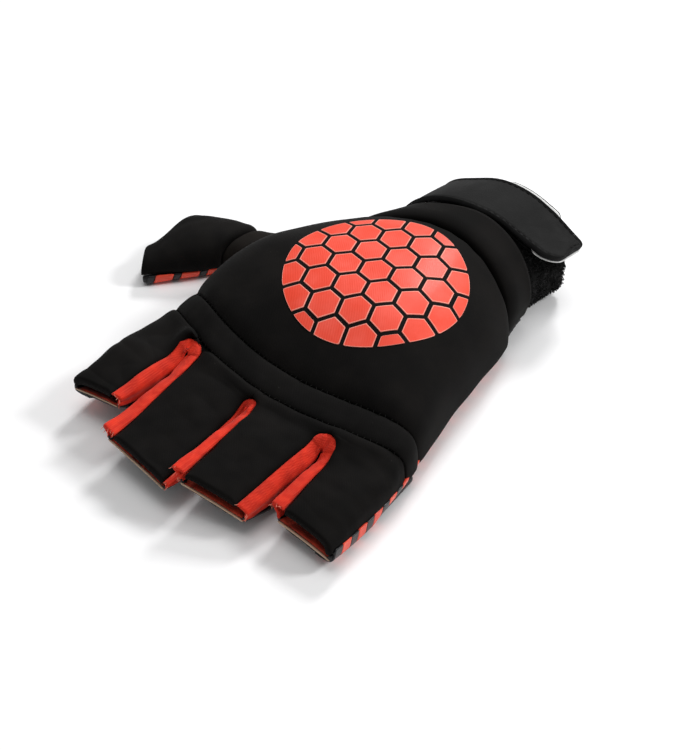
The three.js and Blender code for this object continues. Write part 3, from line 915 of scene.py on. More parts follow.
COVER_DROP = 1.3  # how far the covers fall at the slits
FOLD_DEPTH = (0.5, 0.16, 0.12, 0.2)  # of the creases, from the index finger on


def beside_slit(slit, y):
    """1 where a cover's edge runs beside a slit, 0 where it meets the next cover short of it."""
    if slit[2] == 0:
        return 1 + 0 * y
    start = slit_start(slit)
    radius = (cover_edge(slit, start, 1) - cover_edge(slit, start, -1)) / 2
    return smooth(start - radius - 1, start - radius + 1.5, y)


def build_finger_pads():
    shell = Shell()
    for index in range(4):
        points = finger_cover(index, 96, 74)
        relief = 0.2 * ripple(points, 13, 20 + index) + 0.16 * ripple(points * [0.5, 1, 1], 6, 30 + index)
        folds = np.abs(ripple(points * [0.5, 1.2, 0.5], 13, 36 + index, 0.8))
        relief = relief + FOLD_DEPTH[index] * folds
        right_drop = COVER_DROP * beside_slit(finger_sides[index], points[:, :1, 1])
        left_drop = COVER_DROP * beside_slit(finger_sides[index + 1], points[:, -1:, 1])
        seams = [(1.2, 4), (1.5, 1.5), (right_drop, 3), (left_drop, 3)]
        shell.sheet(points, FINGER_PAD_WALL + PAD_SWELL, seams, relief)
    piece = shell.piece("finger_pads", BLACK_JERSEY, "finger_pads")
    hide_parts("finger_pads")


def cover_height(index, x, y):
    """The height of a finger's cover at a plan point, before the tip's roll."""
    middle, half = finger_plan(index, y)
    along = share_along(index, y)
    share = finger_skins[index].share_of_x((x - middle) / half, along)
    on_limb = float(on_finger(index, np.array([share]), np.array([y]))[0, 2])
    swell = float(cap_swell(x, y))
    if y >= root_y + 5:
        return on_limb + swell
    on_hand = float(hand.at(np.array([hand.share_of_x(x, y)]), np.array([y]))[0, 2])
    on_limb_share = smooth(float(band_seam(finger_plan(index, root_y)[0])) + 1.1, root_y + 5, y)
    return lerp(on_hand, on_limb, on_limb_share) + swell


ROLL_ROOT = 0.25  # how far a gusset's roll bulges at the finger's root
ROLL_THUMB_SIDE = 0.5  # how much more at the tip, on a slit's thumb side and on its other side
ROLL_LITTLE_SIDE = 2.2
SHELF_SHARE = 0.75  # how far the roll is brought up level with the cover beside it


def limb_row(index, towards, y, columns):
    """One line of a gusset beside a finger, from the palm's foot up to the edge of the cover."""
    slit = finger_sides[index + 1] if towards > 0 else finger_sides[index]
    middle, half = finger_plan(index, y)
    along = share_along(index, y)
    edge_x = cover_edge(slit, y, towards)
    edge = gusset_skins[index].share_of_x((edge_x - middle) / half, along)
    v = np.linspace(0, 1, columns)
    row = on_finger(index, lerp(1.0 if towards > 0 else 0.0, edge, v), np.full(columns, y), gusset_skins)
    row[:, 2] += (cover_height(index, edge_x, y) - row[-1, 2]) * v**2
    bulge = ROLL_ROOT + (ROLL_THUMB_SIDE if towards > 0 else ROLL_LITTLE_SIDE) * float(along) ** 1.6
    roll = np.sin(np.pi * smooth(0.25, 1.1, v)) * bulge
    row[:, 0] -= towards * roll
    if towards < 0:
        shelf = smooth(0.4, 0.85, v) * SHELF_SHARE * float(smooth(0, 0.5, along))
        row[:, 2] += (row[-1, 2] - row[:, 2]) * shelf
    return row


WEB_DEPTH = 2.6  # of the closed fold at a slit's cap
WEB_SLOPE = 0.6  # how fast it deepens towards the fingertips
WEB_REACH = 7


def webbed(slit, row):
    """A gusset's line, closed to a shallow fold near its slit's cap."""
    y = row[0, 1]
    from_cap = y - slit_start(slit)
    depth = WEB_DEPTH + WEB_SLOPE * from_cap
    fall = np.maximum(row[-1, 2] - row[:, 2], 0)
    closed = row.copy()
    closed[:, 2] = row[-1, 2] - depth * (1 - np.exp(-fall / depth))
    inward = (1 - np.linspace(0, 1, len(row))) ** 2
    closed[:, 0] += (side_x(slit, y, 0) - row[:, 0]) * 0.9 * math.exp(-from_cap / WEB_REACH) * inward
    return closed


def gusset_grid(number, columns=30):
    """The red gusset of a slit: up one finger's side, round the slit's cap and down the next finger's."""
    slit = SLITS[number]
    start = slit_start(slit)
    ends = [root_y + finger_reach(i) - 0.3 for i in (number, number + 1)]
    near = [webbed(slit, limb_row(number, 1, y, columns)) for y in np.linspace(ends[0], start, 80)]
    far = [webbed(slit, limb_row(number + 1, -1, y, columns)) for y in np.linspace(start, ends[1], 80)]
    middle = (near[-1][:, 0] + far[0][:, 0]) / 2
    radius = (near[-1][:, 0] - far[0][:, 0]) / 2
    apex = [cover_height(i, middle[-1], start - radius[-1]) for i in (number, number + 1)]
    rise = (sum(apex) - near[-1][-1, 2] - far[0][-1, 2]) / 2
    posed_near = posed(number, np.array(near))
    posed_far = posed(number + 1, np.array(far))
    cap = []
    for angle in np.linspace(0, np.pi, 48)[1:-1]:
        x, y = middle + radius * math.cos(angle), start - radius * math.sin(angle)
        height = lerp(near[-1][:, 2], far[0][:, 2], angle / np.pi)
        top = height[-1] + rise * math.sin(angle) ** 0.6
        line = np.stack([x, y, height + (top - height[-1]) * np.linspace(0, 1, columns) ** 1.5], 1)
        cap.append(line + lerp(posed_near[-1] - near[-1], posed_far[0] - far[0], angle / np.pi))
    return np.concatenate([posed_near, np.array(cap), posed_far])


def build_gusset(number, name):
    points = gusset_grid(number)
    cap_y = slit_start(SLITS[number])
    at_cap = np.exp(-np.maximum(points[..., 1] - cap_y, 0) / 6)
    v = np.linspace(0, 1, points.shape[1])[None, :]
    roll = 0.6 * np.sin(np.pi * smooth(0.4, 1.05, v))
    folds = ripple(points * [1.3, 0.8, 0.4], 3.4, 50 + number, 1.2)
    creases = ripple(points * [0.6, 1, 0.5], 7, 60 + number)
    relief = roll + folds * (0.1 + 0.4 * at_cap) + creases * 0.2 - 0.1 + 0.3 * (1 - smooth(0, 0.4, v))
    shell = Shell()
    shell.sheet(points, GUSSET_WALL, [(0.3, 0.6), (0.3, 0.6), (0.4, 1.0), (0.5, 0.8)], relief, 0.5)
    piece = shell.piece(name, RED_ELASTIC, name)
    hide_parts(name)


def build_gussets():
    for number, name in enumerate(("gusset_index_middle", "gusset_middle_ring", "gusset_ring_little")):
        build_gusset(number, name)


# The thumb

def thumb_patch(first, last, rows, columns):
    """A grid of the thumb's skin between two planes or shares along it."""
    t = graded(rows)[:, None]
    u = graded(columns)[None, :]
    along = lerp(0.3, 1.0, t) + 0 * u
    for _ in range(12):
        points = thumb.at(u + 0 * t, along)
        along = lerp(along, lerp(first(points), last(points), t), 0.7)
    return thumb.at(u + 0 * t, along)


def at_thumb_seam(shift):
    """The share along the thumb's axis at which a point of it would lie on the seam's plane."""
    def share(points):
        beside = (points[..., :2] - thumb_root) @ thumb_right
        x = thumb_root[0] + THUMB_SEAM + shift
        return (x - thumb_root[0] - beside * thumb_right[0]) / (thumb_axis[0] * THUMB_REACH)
    return share


def in_hand_share(points):
    return 0 * points[..., 0]


def tip_share(points):
    return 1.0 + 0 * points[..., 0]


def build_thumb():
    pad_points = thumb_patch(at_thumb_seam(0.1), tip_share, 90, 80)
    from_web = run(pad_points, 0)
    relief = 0.2 * ripple(pad_points, 15, 71) + 0.12 * ripple(pad_points, 6, 72)
    relief = relief + 1.9 * (1 - smooth(2, 26, from_web))
    seams = [(3.0, 3.2), (1.4, 2.6), (1.0, 3), (1.0, 3)]
    padded_piece("thumb_pad", pad_points, FINGER_PAD_WALL + PAD_SWELL, seams, relief, BLACK_JERSEY)
    web_points = thumb_patch(in_hand_share, at_thumb_seam(-0.1), 60, 70)
    relief = 0.2 * ripple(web_points, 9, 73)
    seams = [(0.4, 2), (0.7, 3), (0.8, 2.5), (0.8, 2.5)]
    # the web's lighter, browner jersey colour is painted light
    padded_piece("thumb_web", web_points, WEB_WALL, seams, relief, WEB_JERSEY_PAINTED_LIGHT)


# The palm and its bars

def lower_curve(section, towards, top, count=120):
    """Points (x, z) at even steps from a height on a section's side, down and under it to its middle."""
    left, right, floor, side, _, _ = section
    reach = right if towards > 0 else left
    low = np.linspace(top, floor + 0.02, 80)
    sine = np.clip((side - low) / (side - floor), 0, 1) ** (UNDERSIDE_ROUND / 2)
    under = np.linspace(sine[-1], 1, 60)[1:]
    sine = np.concatenate([sine, under])
    z = side - (side - floor) * sine ** (2 / UNDERSIDE_ROUND)
    x = towards * reach * np.sqrt(1 - sine**2) ** (2 / UNDERSIDE_ROUND)
    return evenly(np.stack([x, z], 1), count)


def down_curve(curve, distance):
    """Points of a curve at distances along it."""
    return read_line(distance, run(curve, 0), curve)


def hand_under(towards, y, distance):
    curve = lower_curve(hand_section(y), towards, PALM_RISE + BAR_OVERLAP)
    at = down_curve(curve, distance)
    return np.stack([at[:, 0], np.full(len(at), y), at[:, 1]], 1)


def finger_under(index, towards, y, distance):
    _, root, middle, tip, lift, _, _ = FINGERS[index]
    along = float(share_along(index, y))
    centre, half = finger_plan(index, y)
    floor = lift * FINGER_LIFT * along**2
    height = through(root, middle, tip, along) * FINGER_HEIGHT
    top = PALM_RISE + BAR_OVERLAP
    side = floor + max(FINGER_SIDE_SHARE * height, top + 0.1)
    curve = lower_curve((half, half, floor, side, 0, 0), towards, floor + top)
    at = down_curve(curve, distance)
    line = np.stack([centre + at[:, 0], np.full(len(at), y), at[:, 1]], 1)
    return posed(index, line)


def side_under(index, towards, y, distance):
    """The palm's side and underside beside the hand and then beside an outer finger."""
    on_hand = hand_under(towards, min(y, root_y), distance)
    on_hand[:, 1] = y
    weight = smooth(root_y - 4, root_y + 6, y)
    if weight == 0:
        return on_hand
    return lerp(on_hand, finger_under(index, towards, y, distance), weight)


def thumb_under(along, distance):
    """The palm's side and underside on the thumb's edge that faces the fingers."""
    shift, width, height = thumb_row(along)
    half = width * THUMB_WIDTH / 2
    top = height * THUMB_HEIGHT
    curve = lower_curve((half, half, 0, THUMB_SIDE_SHARE * top, top, 0), -1, PALM_RISE - 0.2)
    at = down_curve(curve, distance)
    middle = thumb_root + thumb_axis * along * THUMB_REACH - thumb_right * shift * THUMB_WIDTH
    plan = middle + at[:, :1] * thumb_right
    return np.concatenate([plan, at[:, 1:]], 1)


BAR_LENGTH = 4.5
BAR_PITCH = 8.7
BAR_DROP = 13.0  # how far a bar runs down the side and under
BAR_SLANT = 0.25
BAR_RISE = 1.5
BLACK_BAR_RISE = 1.1
BAR_OVERLAP = 2.4  # how far the bars beside the hand climb over the edge of the black pads
BAR_FIRST = 7.9  # from a finger's open end to the middle of its first orange bar
BAR_GAP = 0.2
THUMB_BARS = (0.885, 0.755, 0.625, 0.495)  # shares of the thumb's reach
THUMB_BAR_SLANT = 0.35


def bar_grid(line_at, centre, length, slant, last, rows=9, columns=26):
    """A bar's outer face: rows along the palm's edge, columns down its side."""
    distance = np.linspace(0.0, BAR_DROP, columns)
    grid = []
    for t in np.linspace(-0.5, 0.5, rows):
        position = centre + t * length
        lines = [line_at(min(position + slant * d, last), np.array([d]))[0] for d in distance]
        grid.append(lines)
    return np.array(grid)


def add_bars(shell, line_at, centres, length, slant, last, flip, rise=BAR_RISE):
    for centre in centres:
        if centre + length / 2 > last:
            continue
        grid = bar_grid(line_at, centre, length, slant, last)
        if flip:
            grid = grid[::-1]
        shell.sheet(grid, 0.5, [(rise, 1.1)] * 4, rise, 0.1)


def build_bars():
    """Glossy raised bars, orange and black by turns, round the palm's outer edges."""
    orange = Shell()
    black = Shell()
    black_length = BAR_PITCH - BAR_LENGTH - BAR_GAP
    for index, towards, count in ((3, -1, 14), (0, 1, 9)):
        last = root_y + finger_reach(index) - 0.4
        line_at = lambda y, d: side_under(index, towards, y, d)
        centres = [last - BAR_FIRST - BAR_PITCH * k for k in range(count)]
        between = [y + BAR_PITCH / 2 for y in centres]
        flip = towards < 0
        add_bars(orange, line_at, centres, BAR_LENGTH, BAR_SLANT, last, flip)
        add_bars(black, line_at, between, black_length, BAR_SLANT, last, flip, BLACK_BAR_RISE)
    line_at = lambda a, d: thumb_under(a / THUMB_REACH, d)
    last = THUMB_REACH - 1
    centres = [THUMB_REACH * share for share in THUMB_BARS]
    between = [a + 5.2 for a in centres]
    add_bars(orange, line_at, centres, 7.0, THUMB_BAR_SLANT, last, True)
    add_bars(black, line_at, between, 2.4, THUMB_BAR_SLANT, last, True, BLACK_BAR_RISE)
    orange.piece("orange_bars", ORANGE_BAR, "palm")
    black.piece("black_bars", BLACK_BAR, "palm")


def softened_copy(node, name, voxel, passes):
    """A node's own shape with its corners and facets smoothed away."""
    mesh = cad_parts[node].data.copy()
    mesh.materials.clear()
    piece = add_object(name, mesh)
    remesh = piece.modifiers.new("even", "REMESH")
    remesh.mode = "VOXEL"
    remesh.voxel_size = voxel * MM
    remesh.use_smooth_shade = True
    ease = piece.modifiers.new("ease", "SMOOTH")
    ease.factor = 0.5
    ease.iterations = passes
    depsgraph = bpy.context.evaluated_depsgraph_get()
    piece.data = bpy.data.meshes.new_from_object(piece.evaluated_get(depsgraph))
    piece.modifiers.clear()
    piece.data.name = name
    return piece


def settle_palm(mesh):
    """Raises, flattens and rolls the palm's fingers as their covers are."""
    points = np.zeros(len(mesh.vertices) * 3)
    mesh.vertices.foreach_get("co", points)
    points = points.reshape(-1, 3) / MM
    y = points[:, 1]
    lines = [side_x(slit, y, 0) for slit in SLITS]
    number = sum((points[:, 0] < line).astype(int) for line in lines)
    for index in range(4):
        chosen = (number == index) & (y > root_y)
        beside = points[chosen, 0] - finger_plan(index, y[chosen])[0]
        along = (y[chosen] - root_y) / finger_reach(index)
        for _ in range(3):
            straight_y = y[chosen] - beside * FINGERS[index][6] * np.clip(along, 0, 1)
            along = (straight_y - root_y) / finger_reach(index)
        points[chosen] = settled(index, points[chosen], np.clip(along, 0, 1), beside)
    mesh.vertices.foreach_set("co", (points * MM).ravel())
    mesh.update()


def build_palm():
    palm = softened_copy("palm", "palm_leather", 0.75, 6)
    settle_palm(palm.data)
    palm.data.materials.append(BLACK_LEATHER)
    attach(palm, "root")
    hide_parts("palm")


def finger_floor(index, along, x_share, lift):
    """A point over the floor of a finger, by its share along and across."""
    y = root_y + along * finger_reach(index)
    middle, half = finger_plan(index, y)
    floor = FINGERS[index][4] * FINGER_LIFT * along**2
    return posed(index, np.array([[middle + x_share * half, y, floor + lift]]))[0]


def build_finger_ends():
    """The pale cut edge of the leather at each open end, and the red lining that shows inside it, its red
    darkened as painted shade.
    """
    edges = Shell()
    lining = Shell()
    for index in range(4):
        x = np.linspace(0.93, -0.93, 40)
        crown = 0.5 * np.cos(x * np.pi / 2)
        rows = []
        for along, rise in ((0.975, 0.02), (1.0, 0.02), (1.008, -0.2), (1.008, -0.6), (0.995, -0.8)):
            rows.append([finger_floor(index, along, s, PALM_WALL + rise + c) for s, c in zip(x, crown)])
        edges.sheet(np.array(rows), 0.4, [(0.0, 1), (0.0, 1), (0.2, 1), (0.2, 1)], 0.0, 0.2)
        rows = []
        for along in np.linspace(0.25, 0.985, 24):
            curl = 1.3 * smooth(0.7, 1.0, along)
            lifts = PALM_WALL + 0.7 + curl * (0.4 + crown)
            rows.append([finger_floor(index, along, s, lift) for s, lift in zip(x, lifts)])
        points = np.array(rows)
        seams = [(0.1, 1), (0.25, 0.6), (0.2, 1), (0.2, 1)]
        lining.sheet(points, 0.5, seams, 0.25 * ripple(points, 4, 80 + index), 0.15)
    edges.piece("leather_cut_edges", CUT_EDGE, "palm")
    lining.piece("finger_lining", RED_LINING_PAINTED_SHADE, "palm")


# The print on the back

PRINT_MIDDLE = np.array([-1.3, -18.6])
PRINT_LONG_WAY = np.array([-0.643, 0.766])
PRINT_LONG = 1.05
PRINT_SHORT = 0.963
PRINT_RADIUS = 35.6
PRINT_PITCH = 12.4
PRINT_GAP = 1.6
PRINT_RISE = 0.2
PRINT_TURN = math.radians(18)


def surface_of(piece):
    """Points of a piece's surface straight below given plan points."""
    tree = BVHTree.FromObject(piece, bpy.context.evaluated_depsgraph_get())

    def drop(plan):
        found = []
        for x, y in plan:
            hit, normal, _, _ = tree.ray_cast(Vector((x * MM, y * MM, 0.1)), Vector((0, 0, -1)))
            found.append([*(hit / MM), *normal] if hit else [x, y, 0, 0, 0, 1])
        found = np.array(found)
        return found[:, :3], found[:, 3:]

    return drop


def hexagon_outline(centre, middle, count=72):
    """Plan ways from a middle to a hexagon's edge, or to the round field's edge where that is nearer."""
    angle = PRINT_TURN + np.arange(count) * 2 * np.pi / count
    way = np.stack([np.cos(angle), np.sin(angle)], 1)
    reach = np.full(count, 99.0)
    for side in PRINT_TURN + np.arange(6) * np.pi / 3:
        normal = np.array([math.cos(side), math.sin(side)])
        towards = way @ normal
        room = (PRINT_PITCH - PRINT_GAP) / 2 - (middle - centre) @ normal
        reach = np.where(towards > 0.01, np.minimum(reach, room / np.maximum(towards, 0.01)), reach)
    along = way @ middle
    reach = np.minimum(reach, np.sqrt(along**2 + PRINT_RADIUS**2 - middle @ middle) - along)
    return reach[:, None] * way


def build_print(back_pad):
    """Raised hexagons that fill a round field on the back, each with a pale edge."""
    drop = surface_of(back_pad)
    face = Shell()
    rim = Shell()
    step = PRINT_PITCH * np.array([math.cos(PRINT_TURN), math.sin(PRINT_TURN)])
    side = PRINT_PITCH * np.array([math.cos(PRINT_TURN + np.pi / 3), math.sin(PRINT_TURN + np.pi / 3)])
    inmost = PRINT_RADIUS - 1.8
    longer = (PRINT_LONG - PRINT_SHORT) * np.outer(PRINT_LONG_WAY, PRINT_LONG_WAY)
    stretch = PRINT_SHORT * np.eye(2) + longer
    for q in range(-4, 5):
        for r in range(-4, 5):
            centre = q * step + r * side
            away = np.linalg.norm(centre)
            if away > inmost + PRINT_PITCH / 2 - 2.5:
                continue
            middle = centre * min(1, inmost / max(away, 1))
            outline = hexagon_outline(centre, middle)
            count = len(outline)
            rings = [outline * share for share in (0.04, 0.2, 0.4, 0.6, 0.8, 0.95)]
            at, normal = drop((np.concatenate(rings) + middle) @ stretch + PRINT_MIDDLE)
            face.add(at + normal * PRINT_RISE, grid_faces(len(rings), count, closed=True))
            face.faces.append(np.arange(count) + face.count - count * len(rings))
            edge = []
            for grow, rise in ((0.93, 0.0), (0.95, 0.03), (0.985, 0.03), (1.0, -0.08), (1.0, -0.4)):
                at, normal = drop((outline * grow + middle) @ stretch + PRINT_MIDDLE)
                edge.append(at + normal * (PRINT_RISE + rise))
            rim.add(np.array(edge), grid_faces(len(edge), count, closed=True))
    face.piece("print_hexagons", ORANGE_PRINT, "back_pad")
    rim.piece("print_edges", PRINT_RIM, "back_pad")


# Stitches

STITCH_PITCH = 2.3
STITCH_LENGTH = 1.9
STITCH_LEAN = 0.8
STITCH_RADIUS = 0.15
STITCH_RISE = 0.22


def stitch_row(shell, line, normals):
    """Short threads laid across a line of points, leaning one way and then the other."""
    distance = run(line, 0)
    count = int(distance[-1] / STITCH_PITCH)
    at = (np.arange(count) + 0.5) * STITCH_PITCH
    place = read_line(at, distance, line)
    up = unit(read_line(at, distance, normals))
    ahead = unit(read_line(at, distance, np.gradient(line, axis=0)))
    across = np.cross(up, ahead)
    steps = np.linspace(-1, 1, 7)
    for i in range(count):
        side = 1 if i % 2 else -1
        jitter = rng.uniform(-0.12, 0.12, 2)
        path = [
            place[i]
            + across[i] * (s * STITCH_LENGTH / 2 + jitter[0])
            + ahead[i] * (side * STITCH_LEAN * s / 2 + jitter[1])
            + up[i] * (STITCH_RISE * (1 - s * s) - 0.25 * s * s)
            for s in steps
        ]
        shell.tube(path, STITCH_RADIUS, 6, 0.6)


def hand_seam_line(seam):
    """A seam's line over the hand and the surface's directions there."""
    points = hand_patch(lambda x: seam(x) - 1.5, lambda x: seam(x) + 1.5, 5, 320)
    return points[2, 3:-3], grid_normals(points)[2, 3:-3]


def build_stitches():
    shell = Shell()
    for seam, depth in ((knuckle_seam, 1.25), (band_seam, 0.95)):
        line, normals = hand_seam_line(seam)
        stitch_row(shell, line - normals * depth, normals)
    shell.piece("seam_stitches", BLACK_THREAD, "knuckle_band")


# The cuff

def full_section(section, count):
    """Points (x, z) at even distances right round a section."""
    upper = section_curve(section, section[2] + 0.05, count)
    under = lower_curve(section, -1, section[2] + 0.05)
    other = lower_curve(section, 1, section[2] + 0.05)
    return evenly(np.concatenate([upper, under[1:], other[-2::-1]]), count + 1)[:-1]


def build_cuff():
    """A tube of loop pile: its cloth, and the fibres that stand off its outside and its rim."""
    columns = 150
    rows = []
    ys = np.linspace(rim_y, pad_y - 6, 34)
    for y in ys:
        curve = full_section(hand_section(y, CUFF_STEP), columns)
        rows.append(np.stack([curve[:, 0], np.full(columns, y), curve[:, 1]], 1))
    outer = np.array(rows)
    around = np.concatenate([outer[:, -1:], outer, outer[:, :1]], 1)
    normals = unit(np.cross(np.gradient(around, axis=0), np.gradient(around, axis=1)))[:, 1:-1]
    rim = np.clip((outer[..., 1] - rim_y) / 1.6, 0, 1)
    round_off = 1.5 * (1 - np.sqrt(1 - (1 - rim) ** 2))
    low = smooth(2.0, 5.0, outer[..., 2])
    fuzz = 0.35 * ripple(outer, 3.5, 90) * low
    outside = outer + normals * (fuzz - round_off)[..., None]
    within = outer - normals * (CUFF_WALL - round_off)[..., None]
    shell = Shell()
    size = len(ys) * columns
    faces = np.concatenate([
        grid_faces(len(ys), columns, closed=True),
        grid_faces(len(ys), columns, size, flip=True, closed=True),
    ])
    first = np.arange(columns)
    after = np.roll(first, -1)
    last = first + (len(ys) - 1) * columns
    last_after = after + (len(ys) - 1) * columns
    front = np.stack([first, after, after + size, first + size], 1)
    back = np.stack([last_after, last, last + size, last_after + size], 1)
    points = np.concatenate([outside.reshape(-1, 3), within.reshape(-1, 3)])
    shell.add(points, np.concatenate([faces, front, back]))
    cuff = shell.piece("pile_cuff", PILE, "cuff")
    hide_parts("cuff")
    add_fibres(outside, normals)


FIBRE_COUNT = 7600
FIBRE_RADIUS = 0.13
FIBRE_LOOP = ((-0.3, -0.1), (0.7, 0.0), (1.0, 0.5), (0.7, 1.0), (-0.1, 0.9))  # shares up and aside


def add_fibres(outside, normals):
    """Small loops all over the cuff, apart from its underside and the part under the strap."""
    shell = Shell()
    rows, columns, _ = outside.shape
    for _ in range(FIBRE_COUNT):
        r = rng.uniform(0, 1) ** 1.2 * (rows - 10)
        c = rng.integers(columns)
        i = int(r)
        base = lerp(outside[i, c], outside[i + 1, c], r - i) + rng.normal(0, 0.25, 3)
        under_strap = base[0] > -24 and base[2] > 17
        if base[2] < 1.2 or under_strap:
            continue
        up = unit(normals[i, c] + rng.normal(0, 0.3, 3) + [0, -0.8 * (r < 2), 0])
        side = unit(np.cross(up, rng.normal(0, 1, 3)))
        tall = rng.uniform(0.35, 0.95)
        wide = rng.uniform(0.35, 0.8)
        path = [base + up * tall * rise + side * wide * away for rise, away in FIBRE_LOOP]
        shell.tube(path, FIBRE_RADIUS, 3, 0.8)
    shell.piece("pile_fibres", PILE, "cuff")


# The strap

STRAP_TAPER = 2.4  # how much narrower the free end is, at its edge by the fingers
FAR_SAG = 1.3  # how far the edge past the rim lies under the other one
CROWN_SAG = 2.8  # how much further it lies under it over the cuff's crown
FAR_DROOP = 3.2  # and at the free end
NEAR_LIFT = 1.2  # how far the free end's corner by the fingers stands up


def strap_line():
    """Points (x, z) close together along the strap's underside, from its sewn end to its free end."""
    left, right, _, side, crown, roundness = hand_section((rim_y + collar_y) / 2, CUFF_STEP)
    left, right, crown = (size + STRAP_CLEARANCE for size in (left, right, crown))
    angles = np.radians(np.linspace(STRAP_START, STRAP_LEAVE, 220))
    cosine = np.cos(angles)
    x = np.sign(cosine) * np.where(cosine > 0, right, left) * np.abs(cosine) ** (2 / roundness)
    z = side + (crown - side) * np.sin(angles) ** (2 / roundness)
    over = np.stack([x, z], 1)
    leaving = unit(over[-1] - over[-18])
    tail = over[-1] + leaving * np.linspace(0, STRAP_TAIL, 40)[1:, None]
    return evenly(np.concatenate([over, tail]), 400)


strap_path = strap_line()
strap_length = float(run(strap_path, 0)[-1])
label_top = STRAP_BASE_WALL + SEAM_GAP + STRAP_LABEL_WALL


def strap_point(distance, y, height):
    """Points of the strap by distance along it, plan y and height off its line."""
    length = run(strap_path, 0)
    tangent = unit(np.gradient(strap_path, axis=0))
    at = [np.interp(distance, length, strap_path[:, k]) for k in (0, 1)]
    along = [np.interp(distance, length, tangent[:, k]) for k in (0, 1)]
    return np.stack([at[0] + along[1] * height, y + 0 * at[0], at[1] - along[0] * height], -1)


def always(size):
    return lambda share: size


def strap_grid(start, near_inset, far_inset, end_inset, corners, height, rows=150, columns=46, curl=0.0):
    """A grid over the strap: rows along it, columns from its edge by the fingers to its other edge."""
    low = rim_y - STRAP_OVERHANG
    high = low + STRAP_WIDTH
    end = strap_length - end_inset
    u = graded(columns)
    near, far = corners
    grid = []
    for distance in lerp(start, end, graded(rows)):
        share = distance / strap_length
        round_off = []
        for corner in (near, far):
            into = max(distance - (end - corner), 0)
            round_off.append(corner - math.sqrt(max(corner**2 - into**2, 0)))
        near_edge = high - near_inset(share) - round_off[0] - STRAP_TAPER * smooth(0.3, 0.8, share)
        far_edge = low + far_inset(share) + round_off[1]
        y = lerp(near_edge, far_edge, u)
        across = np.clip((high - y) / STRAP_WIDTH, 0, 1)
        at_end = smooth(0.75, 1.0, share)
        at_crown = math.exp(-((share - 0.28) / 0.17) ** 2)
        sag = (FAR_SAG + CROWN_SAG * at_crown + FAR_DROOP * at_end) * across**1.6
        rise = NEAR_LIFT * at_end * (1 - across) + curl * past_middle(share) * smooth(0.8, 1.0, u)
        grid.append(strap_point(np.full(columns, distance), y, height - sag + rise))
    return np.array(grid)


def tape_near(share):
    """The white tape shows past the label only by the free corner."""
    return 2.6 - 2.3 * smooth(0.82, 0.88, share)


def past_middle(share):
    """1 along the middle of the label, where the tape past the rim curls up beside it."""
    return smooth(0.4, 0.5, share) * (1 - smooth(0.78, 0.86, share))


def tape_far(share):
    return 0.6 - 1.6 * past_middle(share)


def hook_far(share):
    return 0.5 - 2.5 * past_middle(share)


def build_strap():
    hook = Shell()
    points = strap_grid(0, always(0.7), hook_far, 0.5, (9, 4), 0.6, curl=2.0)
    hook.sheet(points, 0.6, [(0.2, 0.5)] * 4, 0.0, 0.2)
    hook.piece("strap_hook", HOOK_TAPE, "strap_base")
    tape = Shell()
    points = strap_grid(5, tape_near, tape_far, 0.3, (9.2, 4.2), STRAP_BASE_WALL, curl=1.9)
    tape.sheet(points, 0.6, [(0.2, 0.4)] * 4, 0.06 * ripple(points, 5, 95), 0.2)
    base = tape.piece("strap_tape", WHITE_TAPE, "strap_base")
    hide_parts("strap_base")
    label = Shell()
    start = STRAP_LABEL_START - 4
    points = strap_grid(start, always(0.55), always(0.3), 0.55, (8.2, 3.2), label_top, 190, 60)
    by_row, by_column = run(points, 0), run(points, 1)
    away = np.minimum.reduce([by_row, by_row[-1:] - by_row, by_column, by_column[:, -1:] - by_column])
    ridge = 0.42 * np.exp(-((away - 1.0) / 0.4) ** 2) - 0.25 * np.exp(-((away - 2.0) / 0.45) ** 2)
    label.sheet(points, STRAP_LABEL_WALL, [(0.9, 1.0)] * 4, ridge + 0.08 * ripple(points, 14, 96), 0.5)
    piece = label.piece("strap_label_face", LABEL_RUBBER, "strap_label")
    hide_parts("strap_label")


def build_label_stitches():
    shell = Shell()
    start = STRAP_LABEL_START - 2
    points = strap_grid(start, always(2.4), always(2.2), 2.4, (6.4, 1.8), label_top, 190, 60)
    normals = grid_normals(points)
    round_it = lambda grid: np.concatenate([grid[:, 0], grid[-1], grid[::-1, -1]])
    line, direction = round_it(points), round_it(normals)
    keep = np.concatenate([[True], np.linalg.norm(np.diff(line, axis=0), axis=1) > 1e-3])
    line, direction = line[keep] - direction[keep] * 0.2, direction[keep]
    distance = run(line, 0)
    for start in np.arange(0.5, distance[-1] - 2.2, 2.9):
        at = np.linspace(start, start + 2.0, 7)
        place = read_line(at, distance, line)
        up = read_line(at, distance, direction)
        arch = 0.12 - 0.3 * np.abs(np.linspace(-1, 1, 7)) ** 4
        shell.tube(place + up * arch[:, None], 0.15, 6, 0.5)
    shell.piece("label_stitches", BLACK_THREAD, "strap_label")


# Loose threads at the gussets' cut ends

def build_frays():
    shell = Shell()
    for number in range(3):
        grid = gusset_grid(number)
        for row in (grid[0], grid[-1]):
            for _ in range(8):
                t = rng.uniform(0.0, 1.0) * (len(row) - 1.01)
                i = int(t)
                base = lerp(row[i], row[i + 1], t - i)
                way = unit(np.array([rng.normal(0, 0.35), 1, rng.normal(-0.45, 0.35)]))
                bend = rng.normal(0, 0.45, 3)
                length = rng.uniform(0.4, 1.3)
                steps = ((-0.5, 0.0), (length * 0.5, 0.2), (length, 0.6))
                path = [base + way * out + bend * aside for out, aside in steps]
                shell.tube(path, 0.11, 4, 0.6)
    shell.piece("gusset_frays", PINK_THREAD, "gusset_index_middle")


# The set, in metres

FLOOR_REACH = 6.0
FLOOR_HEIGHT = -0.0004

WORLD_STRENGTH = 0.32
LIGHTS_AIM = (0.0, 0.0, 0.02)
# name, place, width, power
LIGHTS = [
    ("key", (-1.25, -1.25, 1.3), 0.45, 23),
    ("second_key", (0.55, -1.6, 1.35), 0.45, 23),
    ("top", (0.1, -0.1, 2.2), 1.4, 16),
]

